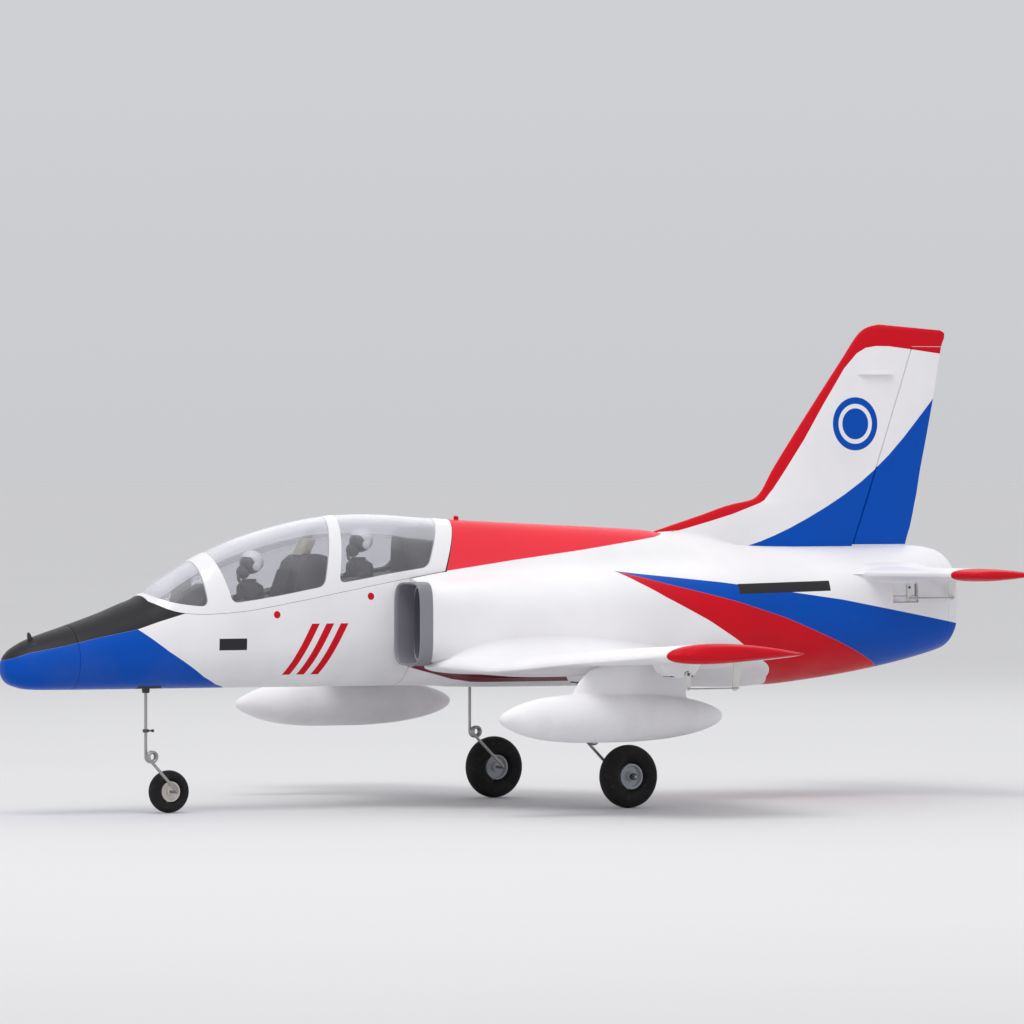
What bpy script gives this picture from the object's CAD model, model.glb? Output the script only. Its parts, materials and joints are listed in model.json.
"""Looks of a ducted-fan jet trainer model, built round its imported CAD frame.

Metres. +Z is up, the nose points towards -Y and the left (port) side is +X. Station
s = y + ORIGIN_S is the distance aft of the nose tip, and side views are drawn in (s, z).
"""

import bisect
from functools import cached_property
import json
import math

import bpy
import bmesh
import numpy as np
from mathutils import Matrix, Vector

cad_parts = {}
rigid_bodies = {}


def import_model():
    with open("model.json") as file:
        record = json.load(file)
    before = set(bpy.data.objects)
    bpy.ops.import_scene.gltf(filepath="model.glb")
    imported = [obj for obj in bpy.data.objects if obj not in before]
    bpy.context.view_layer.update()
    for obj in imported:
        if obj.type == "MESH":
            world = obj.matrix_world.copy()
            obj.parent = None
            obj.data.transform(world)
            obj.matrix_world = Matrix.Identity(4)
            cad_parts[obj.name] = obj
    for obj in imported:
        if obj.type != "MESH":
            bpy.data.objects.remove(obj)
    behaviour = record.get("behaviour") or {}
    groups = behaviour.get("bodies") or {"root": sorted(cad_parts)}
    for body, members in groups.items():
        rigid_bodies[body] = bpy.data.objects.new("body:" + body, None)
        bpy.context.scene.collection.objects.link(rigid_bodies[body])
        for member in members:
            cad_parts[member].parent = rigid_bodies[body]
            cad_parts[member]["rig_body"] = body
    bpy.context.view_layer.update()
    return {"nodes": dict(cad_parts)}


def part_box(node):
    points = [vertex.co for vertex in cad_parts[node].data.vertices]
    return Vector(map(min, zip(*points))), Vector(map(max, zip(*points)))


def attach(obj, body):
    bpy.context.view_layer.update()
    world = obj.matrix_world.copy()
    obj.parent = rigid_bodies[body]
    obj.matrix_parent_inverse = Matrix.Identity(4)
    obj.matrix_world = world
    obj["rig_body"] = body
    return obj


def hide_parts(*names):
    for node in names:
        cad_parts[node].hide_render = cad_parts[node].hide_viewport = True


for old in list(bpy.data.objects):
    bpy.data.objects.remove(old)
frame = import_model()
NODES = frame["nodes"]

# ---------------------------------------------------------------- dimensions shared with the CAD
ORIGIN_S = 0.4768
GAP = 0.0003
NOSE_JOINT = 0.0595
CHEEK_START = 0.3745          # where the intake trunks begin
BODY_END = 0.925
BLUNT_S = .0058               # the nose is rounded off ahead of this
DUCT_Z = 0.166
FAN_S = 0.500
LIP_X, LIP_Z = .0627, .1612
EXHAUST_Z = .1764
STAB_Z = 0.2005
ELEVATOR_HINGE_S = 0.9105
WING_IN = 0.0600
AILERON_IN, AILERON_OUT = 0.205, 0.340
SERVO_X, SERVO_S, SERVO_Z = 0.270, .5130, .1192              # aileron servo
TANK_X, TANK_S, TANK_Z, TANK_R, TANK_HALF = 0.237, 0.4610, 0.0835, 0.0210, 0.1102
MAIN_R, MAIN_W, TRACK_HALF, MAIN_AXLE_S = 0.0275, 0.020, 0.1175, 0.549
NOSE_R, NOSE_W, NOSE_AXLE_S = 0.0183, 0.014, 0.1595
WIRE_R, COIL_R = 0.0013, 0.0042
NOSE_LEG_X, NOSE_LEG_S = .0100, .1322
RUDDER_HINGE = ((.853, .2257), (.9155, .4020))               # two (s, z) points
X_AXIS, Y_AXIS, Z_AXIS = (1, 0, 0), (0, 1, 0), (0, 0, 1)


class Curve:
    """Shape-preserving cubic through (position, value) points, held level beyond its ends."""

    def __init__(self, *points):
        x, v = (np.array(column, float) for column in zip(*points))
        h = np.diff(x)
        d = np.diff(v) / h
        slope = np.zeros(len(x))
        slope[0], slope[-1] = d[0], d[-1]
        for i in range(1, len(x) - 1):
            if d[i - 1] * d[i] > 0:
                w1, w2 = 2 * h[i] + h[i - 1], h[i] + 2 * h[i - 1]
                slope[i] = (w1 + w2) / (w1 / d[i - 1] + w2 / d[i])
        self.x, self.v, self.slope = x.tolist(), v.tolist(), slope.tolist()

    def __call__(self, x):
        if x <= self.x[0]:
            return self.v[0]
        if x >= self.x[-1]:
            return self.v[-1]
        i = bisect.bisect_right(self.x, x) - 1
        h = self.x[i + 1] - self.x[i]
        t = (x - self.x[i]) / h
        return ((2 * t**3 - 3 * t**2 + 1) * self.v[i] + (t**3 - 2 * t**2 + t) * h * self.slope[i]
                + (-2 * t**3 + 3 * t**2) * self.v[i + 1] + (t**3 - t**2) * h * self.slope[i + 1])


# Body lines along the station. TOP, BOTTOM and MID are heights, the others half-widths or reaches.
TOP = Curve(
    (0, .1266), (.0058, .1404), (.0124, .1450), (.0219, .1497), (.036, .1546), (.055, .1603),
    (.074, .1662), (.093, .1724), (.1126, .1798), (.128, .1856), (.1415, .1952), (.156, .2040),
    (.1705, .2122), (.185, .2200), (.1996, .2265), (.214, .2323), (.229, .2373), (.2485, .2428),
    (.268, .2475), (.288, .2514), (.3075, .2541), (.327, .2556), (.347, .2561), (.367, .2557),
    (.387, .2544), (.407, .2529), (.424, .2517), (.457, .2495), (.488, .2480), (.518, .2465),
    (.549, .2451), (.590, .2430), (.631, .2405), (.655, .2368), (.685, .2318), (.720, .2270),
    (.760, .2246), (.800, .2238), (.848, .2237), (.880, .2243), (.905, .2248), (.925, .2238),
    (.940, .2200))
BOTTOM = Curve(
    (0, .1266), (.0058, .1131), (.0124, .1103), (.0219, .1081), (.036, .1074), (.100, .1070),
    (.200, .1068), (.300, .1064), (.447, .1062), (.549, .1060), (.660, .1043), (.694, .1030),
    (.715, .1023), (.757, .1032), (.799, .1063), (.831, .1099), (.874, .1166), (.906, .1232),
    (.925, .1280), (.940, .1325))
MID = Curve(
    (0, .1266), (.03, .1290), (.10, .1390), (.20, .1500), (.36, .1580), (.50, .1610), (.70, .1640),
    (.85, .1710), (.925, .1755), (.940, .1765))
HALF_WIDTH = Curve(
    (0, 0), (.0058, .0130), (.0124, .0172), (.0219, .0212), (.036, .0252), (.055, .0290),
    (.080, .0328), (.110, .0362), (.150, .0397), (.200, .0422), (.280, .0437), (.360, .0445),
    (.500, .0460), (.650, .0490), (.800, .0520), (.880, .0515), (.925, .0495), (.940, .0450))
CHEEK_WIDTH = Curve(
    (.36, .0815), (.376, .0815), (.42, .0828), (.50, .0835), (.60, .0810), (.70, .0750),
    (.80, .0655), (.87, .0560), (.925, .0440), (.940, .0400))
CHEEK_UP = Curve(
    (.36, .0391), (.376, .0391), (.45, .0440), (.60, .0480), (.75, .0470), (.87, .0430),
    (.94, .0360))
CHEEK_DOWN = Curve(
    (.36, .0333), (.376, .0333), (.40, .0400), (.45, .0478), (.50, .0500), (.60, .0518),
    (.70, .0550), (.76, .0545), (.80, .0500), (.87, .0420), (.94, .0360))
# Heights of the canopy hatch's lower edge and of the panes' lower edges
SEAM = Curve(
    (.1289, .1829), (.1358, .1787), (.1442, .1746), (.1562, .1719), (.1734, .1707), (.1912, .1714),
    (.2117, .1730), (.2348, .1763), (.2534, .1794), (.2769, .1833), (.3005, .1876), (.3242, .1917),
    (.3482, .1959), (.3723, .1999), (.3967, .2038), (.4101, .2058), (.445, .2110))
GLASS = Curve(
    (.130, .1895), (.1338, .1871), (.1382, .1847), (.1461, .1817), (.1596, .1792), (.1732, .1779),
    (.190, .1788), (.2023, .1803), (.2309, .1840), (.2541, .1877), (.2776, .1918), (.3051, .1965),
    (.3346, .2010), (.3612, .2053), (.3903, .2093), (.430, .2150))
# Wing sections: x, leading edge s, trailing edge s, height, thickness
WING = [
    (.055, .376, .652, .1240, .0270), (.080, .384, .6495, .1240, .0270),
    (.090, .402, .6470, .1222, .0262), (.102, .4176, .6435, .1205, .0255),
    (.130, .4196, .6360, .1218, .0245), (.237, .4273, .6060, .1300, .0212),
    (.335, .4348, .5810, .1366, .0184), (.352, .4385, .5775, .1380, .0178),
    (.3625, .4442, .5755, .1390, .0170), (.3675, .4510, .5710, .1392, .0128),
    (.370, .4610, .5610, .1393, .0060)]
# Depth of the wing's underside as a share of the upper side's, along x
WING_LOW = Curve((.055, .66), (.090, .60), (.130, .46), (.237, .38), (.330, .45), (.352, .78),
                 (.3625, .98), (.370, 1.0))
# Fin sections: z, leading edge s, trailing edge s, thickness
FIN = [
    (.2135, .640, .9080, .0100), (.2249, .640, .9105, .0100), (.2365, .640, .9140, .0100),
    (.2420, .655, .9160, .0100), (.2480, .676, .9175, .0100), (.2540, .6965, .9190, .0098),
    (.2625, .7247, .9208, .0096), (.2672, .7485, .9220, .0095), (.2717, .7555, .9230, .0094),
    (.2910, .7680, .9265, .0090), (.3204, .7890, .9330, .0087), (.3682, .8245, .9430, .0080),
    (.3980, .8470, .9483, .0075), (.4110, .8565, .9510, .0070), (.4180, .8630, .9530, .0062),
    (.4225, .8710, .9532, .0050), (.4252, .8830, .9490, .0030)]
# Tailplane sections: x, leading edge s, trailing edge s, thickness
STAB = [
    (.0395, .8230, .9440, .0115), (.050, .8265, .9440, .0115), (.120, .8468, .9415, .0108),
    (.172, .8618, .9390, .0100), (.1805, .8660, .9360, .0070), (.1840, .8730, .9300, .0034)]
# Intake ducts: s, centre x, half-width, half-height
DUCT = [
    (.3700, .0625, .0149, .0330), (.3780, .0618, .0146, .0318), (.3950, .0588, .0142, .0305),
    (.4200, .0485, .0150, .0310), (.4480, .0300, .0165, .0290), (.4900, .0150, .0170, .0260)]


def columns(table):
    """A curve for each later column of the table, over its first."""
    return [Curve(*[(row[0], row[k]) for row in table]) for k in range(1, len(table[0]))]


WING_CURVES, FIN_CURVES, STAB_CURVES = columns(WING), columns(FIN), columns(STAB)


def y_of(s):
    return s - ORIGIN_S


def at(x, s, z):
    """The point at this x, station and height."""
    return (x, y_of(s), z)


def ring_of(x, s, z):
    """Points from arrays or single numbers for x, station and height."""
    return np.stack(np.broadcast_arrays(x, y_of(s), z), 1)


def clamp01(value):
    return min(1.0, max(0.0, value))


def bezier(a, b, c, t):
    """Point t along the curve from a to c, pulled towards b."""
    return a * (1 - t) ** 2 + b * 2 * t * (1 - t) + c * t * t


# ---------------------------------------------------------------- shader graphs
class Value:
    """One value in a shader graph, with arithmetic."""

    def __init__(self, graph, out):
        self.graph, self.out = graph, out

    def __add__(self, other): return self.graph.math("ADD", self, other)
    def __sub__(self, other): return self.graph.math("SUBTRACT", self, other)
    def __rsub__(self, other): return self.graph.math("SUBTRACT", other, self)
    def __mul__(self, other): return self.graph.math("MULTIPLY", self, other)
    def __truediv__(self, other): return self.graph.math("DIVIDE", self, other)
    def max(self, other): return self.graph.math("MAXIMUM", self, other)
    def min(self, other): return self.graph.math("MINIMUM", self, other)
    def abs(self): return self.graph.math("ABSOLUTE", self)
    def sqrt(self): return self.graph.math("SQRT", self)
    def clamp(self): return self.graph.math("ADD", self, 0.0, clamp=True)


class Graph:
    """A material with one Principled shader, and short calls for building its inputs."""

    def __init__(self, name):
        self.mat = bpy.data.materials.new(name)
        self.mat.use_nodes = True
        self.tree = self.mat.node_tree
        self.bsdf = self.tree.nodes["Principled BSDF"]
        self.point = self.node("TexCoord", {}, "Object")

    @cached_property
    def axes(self):
        split = self.node("SeparateXYZ", {0: self.point}).out.node
        return [Value(self, out) for out in split.outputs]

    @cached_property
    def s(self):
        return self.axes[1] + ORIGIN_S

    @property
    def x(self):
        return self.axes[0]

    @property
    def z(self):
        return self.axes[2]

    def put(self, value, socket):
        """Feeds a socket with a Value, an (r, g, b) colour or a number."""
        if isinstance(value, Value):
            self.tree.links.new(value.out, socket)
        elif isinstance(value, tuple):
            socket.default_value = (*value, 1)
        else:
            socket.default_value = value

    def node(self, kind, inputs, output=0, **settings):
        made = self.tree.nodes.new("ShaderNode" + kind)
        for key, setting in settings.items():
            setattr(made, key, setting)
        for key, value in inputs.items():
            self.put(value, made.inputs[key])
        return Value(self, made.outputs[output])

    def math(self, how, a, b=None, clamp=False):
        inputs = {0: a} if b is None else {0: a, 1: b}
        return self.node("Math", inputs, operation=how, use_clamp=clamp)

    def edge(self, distance, soft=.00025):
        """1 where the distance is positive, 0 where it is negative, with a thin soft edge."""
        return (distance / soft + 0.5).clamp()

    def broken(self, u, points):
        """Height at u of a broken line through (u, height) points."""
        slopes = [(q[1] - p[1]) / (q[0] - p[0]) for p, q in zip(points, points[1:])]
        total = (u - points[0][0]) * slopes[0] + points[0][1]
        for i in range(1, len(slopes)):
            total = total + (u - points[i][0]).max(0.0) * (slopes[i] - slopes[i - 1])
        return total

    def box(self, u0, u1, w0, w1, u=None, w=None):
        """Mask of a rectangle in the side view, or over other values u and w."""
        u, w = u or self.s, w or self.z
        return self.edge((u - u0).min(u1 - u).min((w - w0).min(w1 - w)), soft=.0002)

    def dist(self, s, z):
        """Distance from a point in the side view."""
        height_scale = 1.0
        a, b = self.s - s, (self.z - z) * height_scale
        return (a * a + b * b).sqrt()

    def noise(self, scale, detail=2.0, rough=.5, vec=None):
        return self.node("TexNoise", {"Scale": scale, "Detail": detail, "Roughness": rough,
                                      "Vector": vec or self.point}, "Fac")

    def stretched_noise(self, x, y, z):
        """Noise with its own scale along each axis."""
        scaled = self.node("VectorMath", {0: self.point}, operation="MULTIPLY")
        scaled.out.node.inputs[1].default_value = (x, y, z)
        return self.noise(1.0, detail=3, rough=.6, vec=scaled)

    def cells(self, scale, feature="F1"):
        return self.node("TexVoronoi", {"Scale": scale, "Vector": self.point}, "Distance",
                         feature=feature)

    def mix(self, fac, a, b):
        """Colour a where fac is 0 and b where it is 1."""
        return self.node("Mix", {"Factor": fac, 6: a, 7: b}, 2, data_type="RGBA")

    def bump(self, height, distance, strength):
        normal = self.node("Bump", {"Distance": distance, "Strength": strength, "Height": height})
        self.put(normal, self.bsdf.inputs["Normal"])

    def specular(self, level):
        self.bsdf.inputs["Specular IOR Level"].default_value = level

    def finish(self, colour, rough, metal=0.0, coat=0.0):
        for value, key in ((colour, "Base Color"), (rough, "Roughness"), (metal, "Metallic"),
                           (coat, "Coat Weight")):
            self.put(value, self.bsdf.inputs[key])
        return self.mat


# paint colours
WHITE = (.850, .840, .860)
BLUE = (.001, .076, .460)
RED = (.620, .006, .016)
SPINE_RED = (.800, .040, .060)
BLACK = (.030, .030, .033)
MAROON = (.16, .014, .028)


def foam_finish(g, colour):
    """Painted moulded foam: faint beads, soft unevenness, grime low down and small scuffs."""
    patch = g.noise(scale=9, detail=3)
    grain = g.noise(scale=260)
    grime = ((g.noise(scale=28, detail=4) - .47) * 3.2).clamp() * ((.155 - g.z) * 14).clamp()
    colour = g.mix(((patch - .40) * .30).clamp(), colour, (.02, .02, .035))
    colour = g.mix(grime * .16, colour, (.22, .20, .18))
    streak = ((g.stretched_noise(210, 16, 210) - .66) * 9).clamp()
    streak = streak * ((g.noise(scale=22) - .52) * 8).clamp()
    colour = g.mix(streak * .10, colour, (.30, .29, .29))
    beads = g.cells(430, "SMOOTH_F1")
    height = beads * .10 + g.noise(scale=38, detail=3) * .55 + grain * .05
    g.bump(height, distance=.00045, strength=.55)
    g.specular(.09)
    return g.finish(colour, rough=(grain - .5) * .22 + patch * .10 + .31)


def nose_paint(g):
    """White, with a black nose top over a blue lower nose."""
    s, z = g.s, g.z
    split = g.broken(s, [(0, .1330), (.018, .1395), (.048, .1452), (.077, .1518), (.113, .1587),
                         (.1334, .1652), (.1564, .1718), (.1620, .1735)])
    above = g.edge(z - split)
    colour = g.mix(above * g.edge(.1600 - s), WHITE, BLACK)
    # rear edge of the blue, as (z, s) points
    back = g.broken(z, [(.095, .2200), (.1075, .2060), (.1105, .1930), (.1172, .1771),
                        (.1393, .1405), (.1587, .1130), (.1700, .0960)])
    return g.mix((1.0 - above) * g.edge(back - s), colour, BLUE)


def tail_stripes(g, colour):
    """A blue stripe over a red one, fanning out from one point."""
    s, z = g.s, g.z
    top = g.broken(s, [(.5717, .2052), (.5945, .2025), (.675, .1945), (.803, .1780),
                       (.940, .1547)])
    mid = g.broken(s, [(.5717, .2052), (.6156, .1937), (.6599, .1838), (.6871, .1775),
                       (.7402, .1624), (.7969, .1420), (.8557, .1204), (.8900, .1060)])
    low = g.broken(s, [(.5717, .2052), (.5877, .1950), (.6117, .1819), (.6559, .1612),
                       (.6886, .1430), (.7056, .1318), (.7290, .1168), (.7500, .1010)])
    tail = g.edge(s - .5717)
    colour = g.mix(tail * g.edge(top - z) * g.edge(z - mid), colour, BLUE)
    return g.mix(tail * g.edge(mid - z) * g.edge(z - low), colour, RED)


def body_marks(g, colour):
    """Plain bars, slanted stripes and dots on both sides."""
    s, z = g.s, g.z
    side = g.edge(g.x.abs() - .018)
    # bar on the nose
    colour = g.mix(g.box(.1868, .2132, .1400, .1500) * side, colour, BLACK)
    # three slanted stripes ahead of the intake
    slant = s - (z - .1400) * .55
    for start in (.2640, .2780, .2920):
        stripe = g.box(start, start + .0075, .1180, .1620, u=slant)
        colour = g.mix(stripe * side, colour, RED)
    # a small dot under each main pane
    for dot_s, dot_z in ((.2425, .1700), (.3345, .1850)):
        colour = g.mix(g.edge(.0032 - g.dist(dot_s, dot_z)) * side, colour, RED)
    # bar along the rear body
    lean = z - (s - .740) * .020
    return g.mix(g.box(.6900, .7900, .1850, .1940, w=lean) * side, colour, BLACK)


def paint_body():
    g = Graph("painted_foam_body")
    s, z = g.s, g.z
    colour = nose_paint(g)
    # red spine behind the canopy
    spine = g.broken(s, [(.400, .2050), (.4805, .2153), (.5512, .2235), (.6349, .2344),
                         (.6700, .2420)])
    colour = g.mix(g.edge(z - spine) * g.edge(s - .404), colour, SPINE_RED)
    colour = tail_stripes(g, colour)
    # dark red band under the intake trunks
    high = g.broken(s, [(.370, .1300), (.393, .1250), (.423, .1190), (.4535, .1140),
                        (.480, .1115), (.600, .1085)])
    low = g.broken(s, [(.370, .1240), (.380, .1215), (.400, .1166), (.420, .1120),
                       (.440, .1088), (.4525, .1076), (.500, .1040)])
    band = g.edge(high - z) * g.edge(z - low) * g.edge(s - CHEEK_START) * g.edge(.70 - s)
    return foam_finish(g, body_marks(g, g.mix(band, colour, MAROON)))


def paint_fin():
    g = Graph("painted_foam_fin")
    s, z = g.s, g.z
    colour = g.mix(0.0, WHITE, WHITE)
    # blue triangle low at the rear
    rise = g.broken(s, [
        (.7150, .2200), (.7247, .2222), (.7400, .2257), (.7545, .2298), (.7700, .2353),
        (.7845, .2411), (.8044, .2503), (.8243, .2604), (.8442, .2717), (.8621, .2831),
        (.8760, .2935), (.8920, .3070), (.9080, .3225), (.9244, .3400), (.9450, .3625)])
    colour = g.mix(g.edge(rise - z) * g.edge(s - .7180), colour, BLUE)
    # disc with one pale ring
    distance = g.dist(.855, .335)
    for radius, shade in ((.0240, BLUE), (.0180, WHITE), (.0140, BLUE)):
        colour = g.mix(g.edge(radius - distance), colour, shade)
    # red along the leading edge and over the tip
    band = g.broken(s, [
        (.6250, .2315), (.6482, .2350), (.6782, .2420), (.7000, .2475), (.7247, .2541),
        (.7540, .2640), (.7590, .2665), (.7685, .2767), (.7805, .2926), (.8008, .3204),
        (.8207, .3510), (.8441, .3850), (.8571, .3985), (.8665, .4036), (.8771, .4053),
        (.8912, .4052), (.9149, .4027), (.9600, .3975)])
    return foam_finish(g, g.mix(g.edge(z - band), colour, RED))


def paint_wing():
    g = Graph("painted_foam_wing")
    tip = g.x.abs() - g.broken(g.s, [(.40, .3600), (.46, .3590), (.60, .3550)])
    return foam_finish(g, g.mix(g.edge(tip), WHITE, RED))


def paint_fairing():
    g = Graph("painted_foam_fairing")
    s, z = g.s, g.z
    high = g.broken(s, [(.402, .1232), (.423, .1190), (.4535, .1155), (.475, .1150),
                        (.620, .1150)])
    low = g.broken(s, [(.400, .1166), (.420, .1120), (.440, .1092), (.4525, .1088),
                       (.620, .1086)])
    band = g.edge(high - z) * g.edge(z - low) * g.edge(s - .400) * g.edge(.6200 - s)
    return foam_finish(g, g.mix(band * g.edge(g.x.abs() - .02), WHITE, MAROON))


def paint_stab():
    g = Graph("painted_foam_stab")
    return foam_finish(g, g.mix(g.edge(g.x.abs() - .1585), WHITE, RED))


def paint_white():
    g = Graph("painted_foam_white")
    return foam_finish(g, g.mix(0.0, WHITE, WHITE))


def plain(name, colour, rough=.45, grain=180, depth=.0001, coat=0.0, vary=.12):
    """Moulded plastic: grain bumps of a depth, with a slightly varied colour and gloss."""
    g = Graph(name)
    cloud, fine = g.noise(scale=35, detail=3), g.noise(scale=grain * 8)
    shaded = g.mix(((cloud - .3) * vary * 3).clamp(), colour, tuple(v * .72 for v in colour))
    scuff = ((g.stretched_noise(60, 600, 300) - .68) * 10).clamp()
    shaded = g.mix(scuff * .12, shaded, tuple(min(1, v + .18) for v in colour))
    g.bump(fine, distance=depth, strength=.5)
    return g.finish(shaded, rough=(fine - .5) * .18 + cloud * .10 + (rough - .05), coat=coat)


def metal(name, colour, rough, stretch=(900, 60, 60)):
    """Metal brushed along the axis with the least stretch."""
    g = Graph(name)
    brushed, cloud = g.stretched_noise(*stretch), g.noise(scale=90, detail=3)
    shaded = g.mix((cloud - .3).clamp() * .8, colour, tuple(v * .55 for v in colour))
    g.bump(brushed, distance=.00004, strength=.5)
    return g.finish(shaded, rough=brushed * .20 + (rough - .08) + cloud * .08, metal=1.0)


def paint_tyre():
    g = Graph("foam_rubber")
    pores, cloud = g.cells(900), g.noise(scale=60, detail=4)
    colour = g.mix(((cloud - .4) * 1.6).clamp(), (.012, .012, .013), (.030, .029, .028))
    dust = ((g.noise(scale=240, detail=3) - .60) * 6).clamp()
    colour = g.mix(dust * .10, colour, (.22, .20, .18))
    g.bump(pores * .7 + cloud * .4, distance=.00025, strength=.7)
    g.specular(.18)
    return g.finish(colour, rough=cloud * .15 + .66)


def paint_glass():
    """Thin clear plastic with a grey tint and a slight haze, more mirror-like where it faces up."""
    g = Graph("canopy_glass")
    clear = g.node("BsdfTransparent", {0: (.955, .955, .97)})
    haze = g.noise(scale=30, detail=3)
    g.bump(g.noise(scale=26), distance=.0006, strength=.25)
    g.finish((.80, .80, .84), rough=(haze - .5) * .06 + .10, coat=.6)
    fresnel = g.node("LayerWeight", {0: .32}, "Fresnel")
    normal = g.node("NewGeometry", {}, "Normal")
    upward = g.node("SeparateXYZ", {0: normal}, 2)
    share = fresnel * .62 + haze * .09 + (upward - .70).clamp() * 1.5 + .03
    mixed = g.node("MixShader", {0: share.clamp(), 1: clear, 2: Value(g, g.bsdf.outputs[0])})
    g.put(mixed, g.tree.nodes["Material Output"].inputs["Surface"])
    return g.mat


def cloth(name, colour):
    """Woven overalls or webbing."""
    g = Graph(name)
    weave = g.noise(scale=120, detail=3)
    shaded = g.mix(((weave - .3) * 1.4).clamp(), colour, tuple(v * .45 for v in colour))
    g.bump(weave, distance=.0006, strength=.6)
    g.specular(.2)
    return g.finish(shaded, rough=weave * .1 + .75)


M = {
    "body": paint_body(),
    "fin": paint_fin(),
    "wing": paint_wing(),
    "stab": paint_stab(),
    "fairing": paint_fairing(),
    "white": paint_white(),
    "red": foam_finish(Graph("painted_foam_red"), RED),
    "lip": plain("grey_intake_paint", (.225, .228, .255), rough=.42, grain=150, depth=.00008),
    "duct": plain("grey_duct", (.200, .190, .225), rough=.6, grain=150, depth=.00008),
    "foam": plain("raw_dark_foam", (.055, .055, .060), rough=.75, grain=55, depth=.0003),
    "black": plain("black_plastic", (.022, .022, .024), rough=.42),
    "frame": plain("canopy_white", (.80, .80, .82), rough=.22, grain=60, depth=.00004, coat=.5,
                   vary=.06),
    "glass": paint_glass(),
    "arm": plain("white_nylon", (.74, .74, .71), rough=.4, grain=120, depth=.00005),
    "hub": plain("grey_hub_plastic", (.40, .43, .46), rough=.38, grain=120, depth=.00006),
    "nose_hub": plain("pale_hub_plastic", (.62, .57, .52), rough=.38, grain=120, depth=.00006),
    "tyre": paint_tyre(),
    "steel": metal("steel_wire", (.44, .43, .42), rough=.34, stretch=(500, 500, 40)),
    "dark_steel": metal("dark_screw_steel", (.12, .12, .125), rough=.35),
    "brass": metal("gold_anodised_can", (.62, .40, .10), rough=.30),
    "tube": plain("thrust_tube_sheet", (.30, .30, .32), rough=.38, grain=60, depth=.00005),
    "carbon": plain("carbon_tube", (.018, .018, .020), rough=.3, grain=300, depth=.00005),
    "wrap": plain("battery_wrap", (.010, .045, .20), rough=.28, grain=40, depth=.0002, coat=.4),
    "heatshrink": plain("red_heatshrink", (.30, .012, .014), rough=.3, grain=40, coat=.3),
    "helmet": plain("white_helmet", (.80, .79, .80), rough=.25, grain=90, depth=.00003, coat=.5,
                    vary=.08),
    "visor": plain("dark_visor", (.030, .034, .030), rough=.30, grain=60, depth=.00003, coat=.3),
    "mask": plain("mask_rubber", (.024, .027, .023), rough=.6, grain=120, depth=.00012),
    "suit": cloth("overalls", (.026, .028, .027)),
    "seat": cloth("seat_padding", (.020, .020, .028)),
    "headrest": cloth("headrest_pad", (.50, .47, .36)),
    "panel": plain("coaming_black", (.014, .014, .020), rough=.6, grain=90),
    "lead_red": plain("red_lead", (.42, .015, .012), rough=.4),
    "lead_black": plain("black_lead", (.02, .02, .02), rough=.4),
}


# ---------------------------------------------------------------- mesh tools (mat is a key of M)
def put_in_scene(name, mesh):
    obj = bpy.data.objects.new(name, mesh)
    bpy.context.scene.collection.objects.link(obj)
    return obj


def smooth(obj, angle):
    """Smooth shading, with edges sharper than the angle in degrees kept crisp."""
    mesh = obj.data
    mesh.polygons.foreach_set("use_smooth", [True] * len(mesh.polygons))
    mesh.set_sharp_from_angle(angle=math.radians(angle))
    mesh.update()


def make(name, verts, faces, mat, angle=32):
    """A closed mesh object with smooth shading and its normals facing out."""
    mesh = bpy.data.meshes.new(name)
    mesh.from_pydata([tuple(map(float, v)) for v in verts], [], faces)
    bm = bmesh.new()
    bm.from_mesh(mesh)
    bmesh.ops.remove_doubles(bm, verts=bm.verts, dist=2e-7)
    bmesh.ops.recalc_face_normals(bm, faces=bm.faces)
    if bm.calc_volume(signed=True) < 0:
        bmesh.ops.reverse_faces(bm, faces=bm.faces)
    bm.to_mesh(mesh)
    bm.free()
    obj = put_in_scene(name, mesh)
    mesh.materials.append(M[mat])
    smooth(obj, angle)
    return obj


def loft(name, rings, mat, closed=False, angle=32):
    """Skin over rings of equal count; closed joins the last ring to the first."""
    n = len(rings[0])
    faces = []
    for i in range(len(rings) if closed else len(rings) - 1):
        j = (i + 1) % len(rings)
        for k in range(n):
            m = (k + 1) % n
            faces.append((i * n + k, i * n + m, j * n + m, j * n + k))
    if not closed:
        faces.append(tuple(range(n))[::-1])
        faces.append(tuple((len(rings) - 1) * n + k for k in range(n)))
    return make(name, [p for ring in rings for p in ring], faces, mat, angle)


def side_prism(name, outline, x0, x1, mat):
    """Outline of (s, z) points, from x0 to x1."""
    return loft(name, [[at(x, s, z) for s, z in outline] for x in (x0, x1)], mat)


def plan_prism(name, outline, z0, z1, mat):
    """Outline of (x, s) points, from z0 to z1."""
    return loft(name, [[at(x, s, z) for x, s in outline] for z in (z0, z1)], mat)


def soften(obj, width, segments=2, angle=35):
    """Rounds the edges in the mesh itself."""
    bm = bmesh.new()
    bm.from_mesh(obj.data)
    edges = [e for e in bm.edges
             if len(e.link_faces) == 2 and e.calc_face_angle(0) > math.radians(angle)]
    bmesh.ops.bevel(bm, geom=edges, offset=width, offset_type="OFFSET", segments=segments,
                    profile=.5, affect="EDGES", clamp_overlap=True)
    bm.to_mesh(obj.data)
    bm.free()
    smooth(obj, 40)
    return obj


def box(name, x, s, z, mat, bevel=0.0):
    """Block between the two x, the two s and the two z."""
    corners = [at(a, b, c) for c in z for b in s for a in x]
    faces = [(0, 1, 3, 2), (4, 5, 7, 6), (0, 1, 5, 4), (2, 3, 7, 6), (0, 2, 6, 4), (1, 3, 7, 5)]
    obj = make(name, corners, faces, mat)
    return soften(obj, bevel) if bevel else obj


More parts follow.
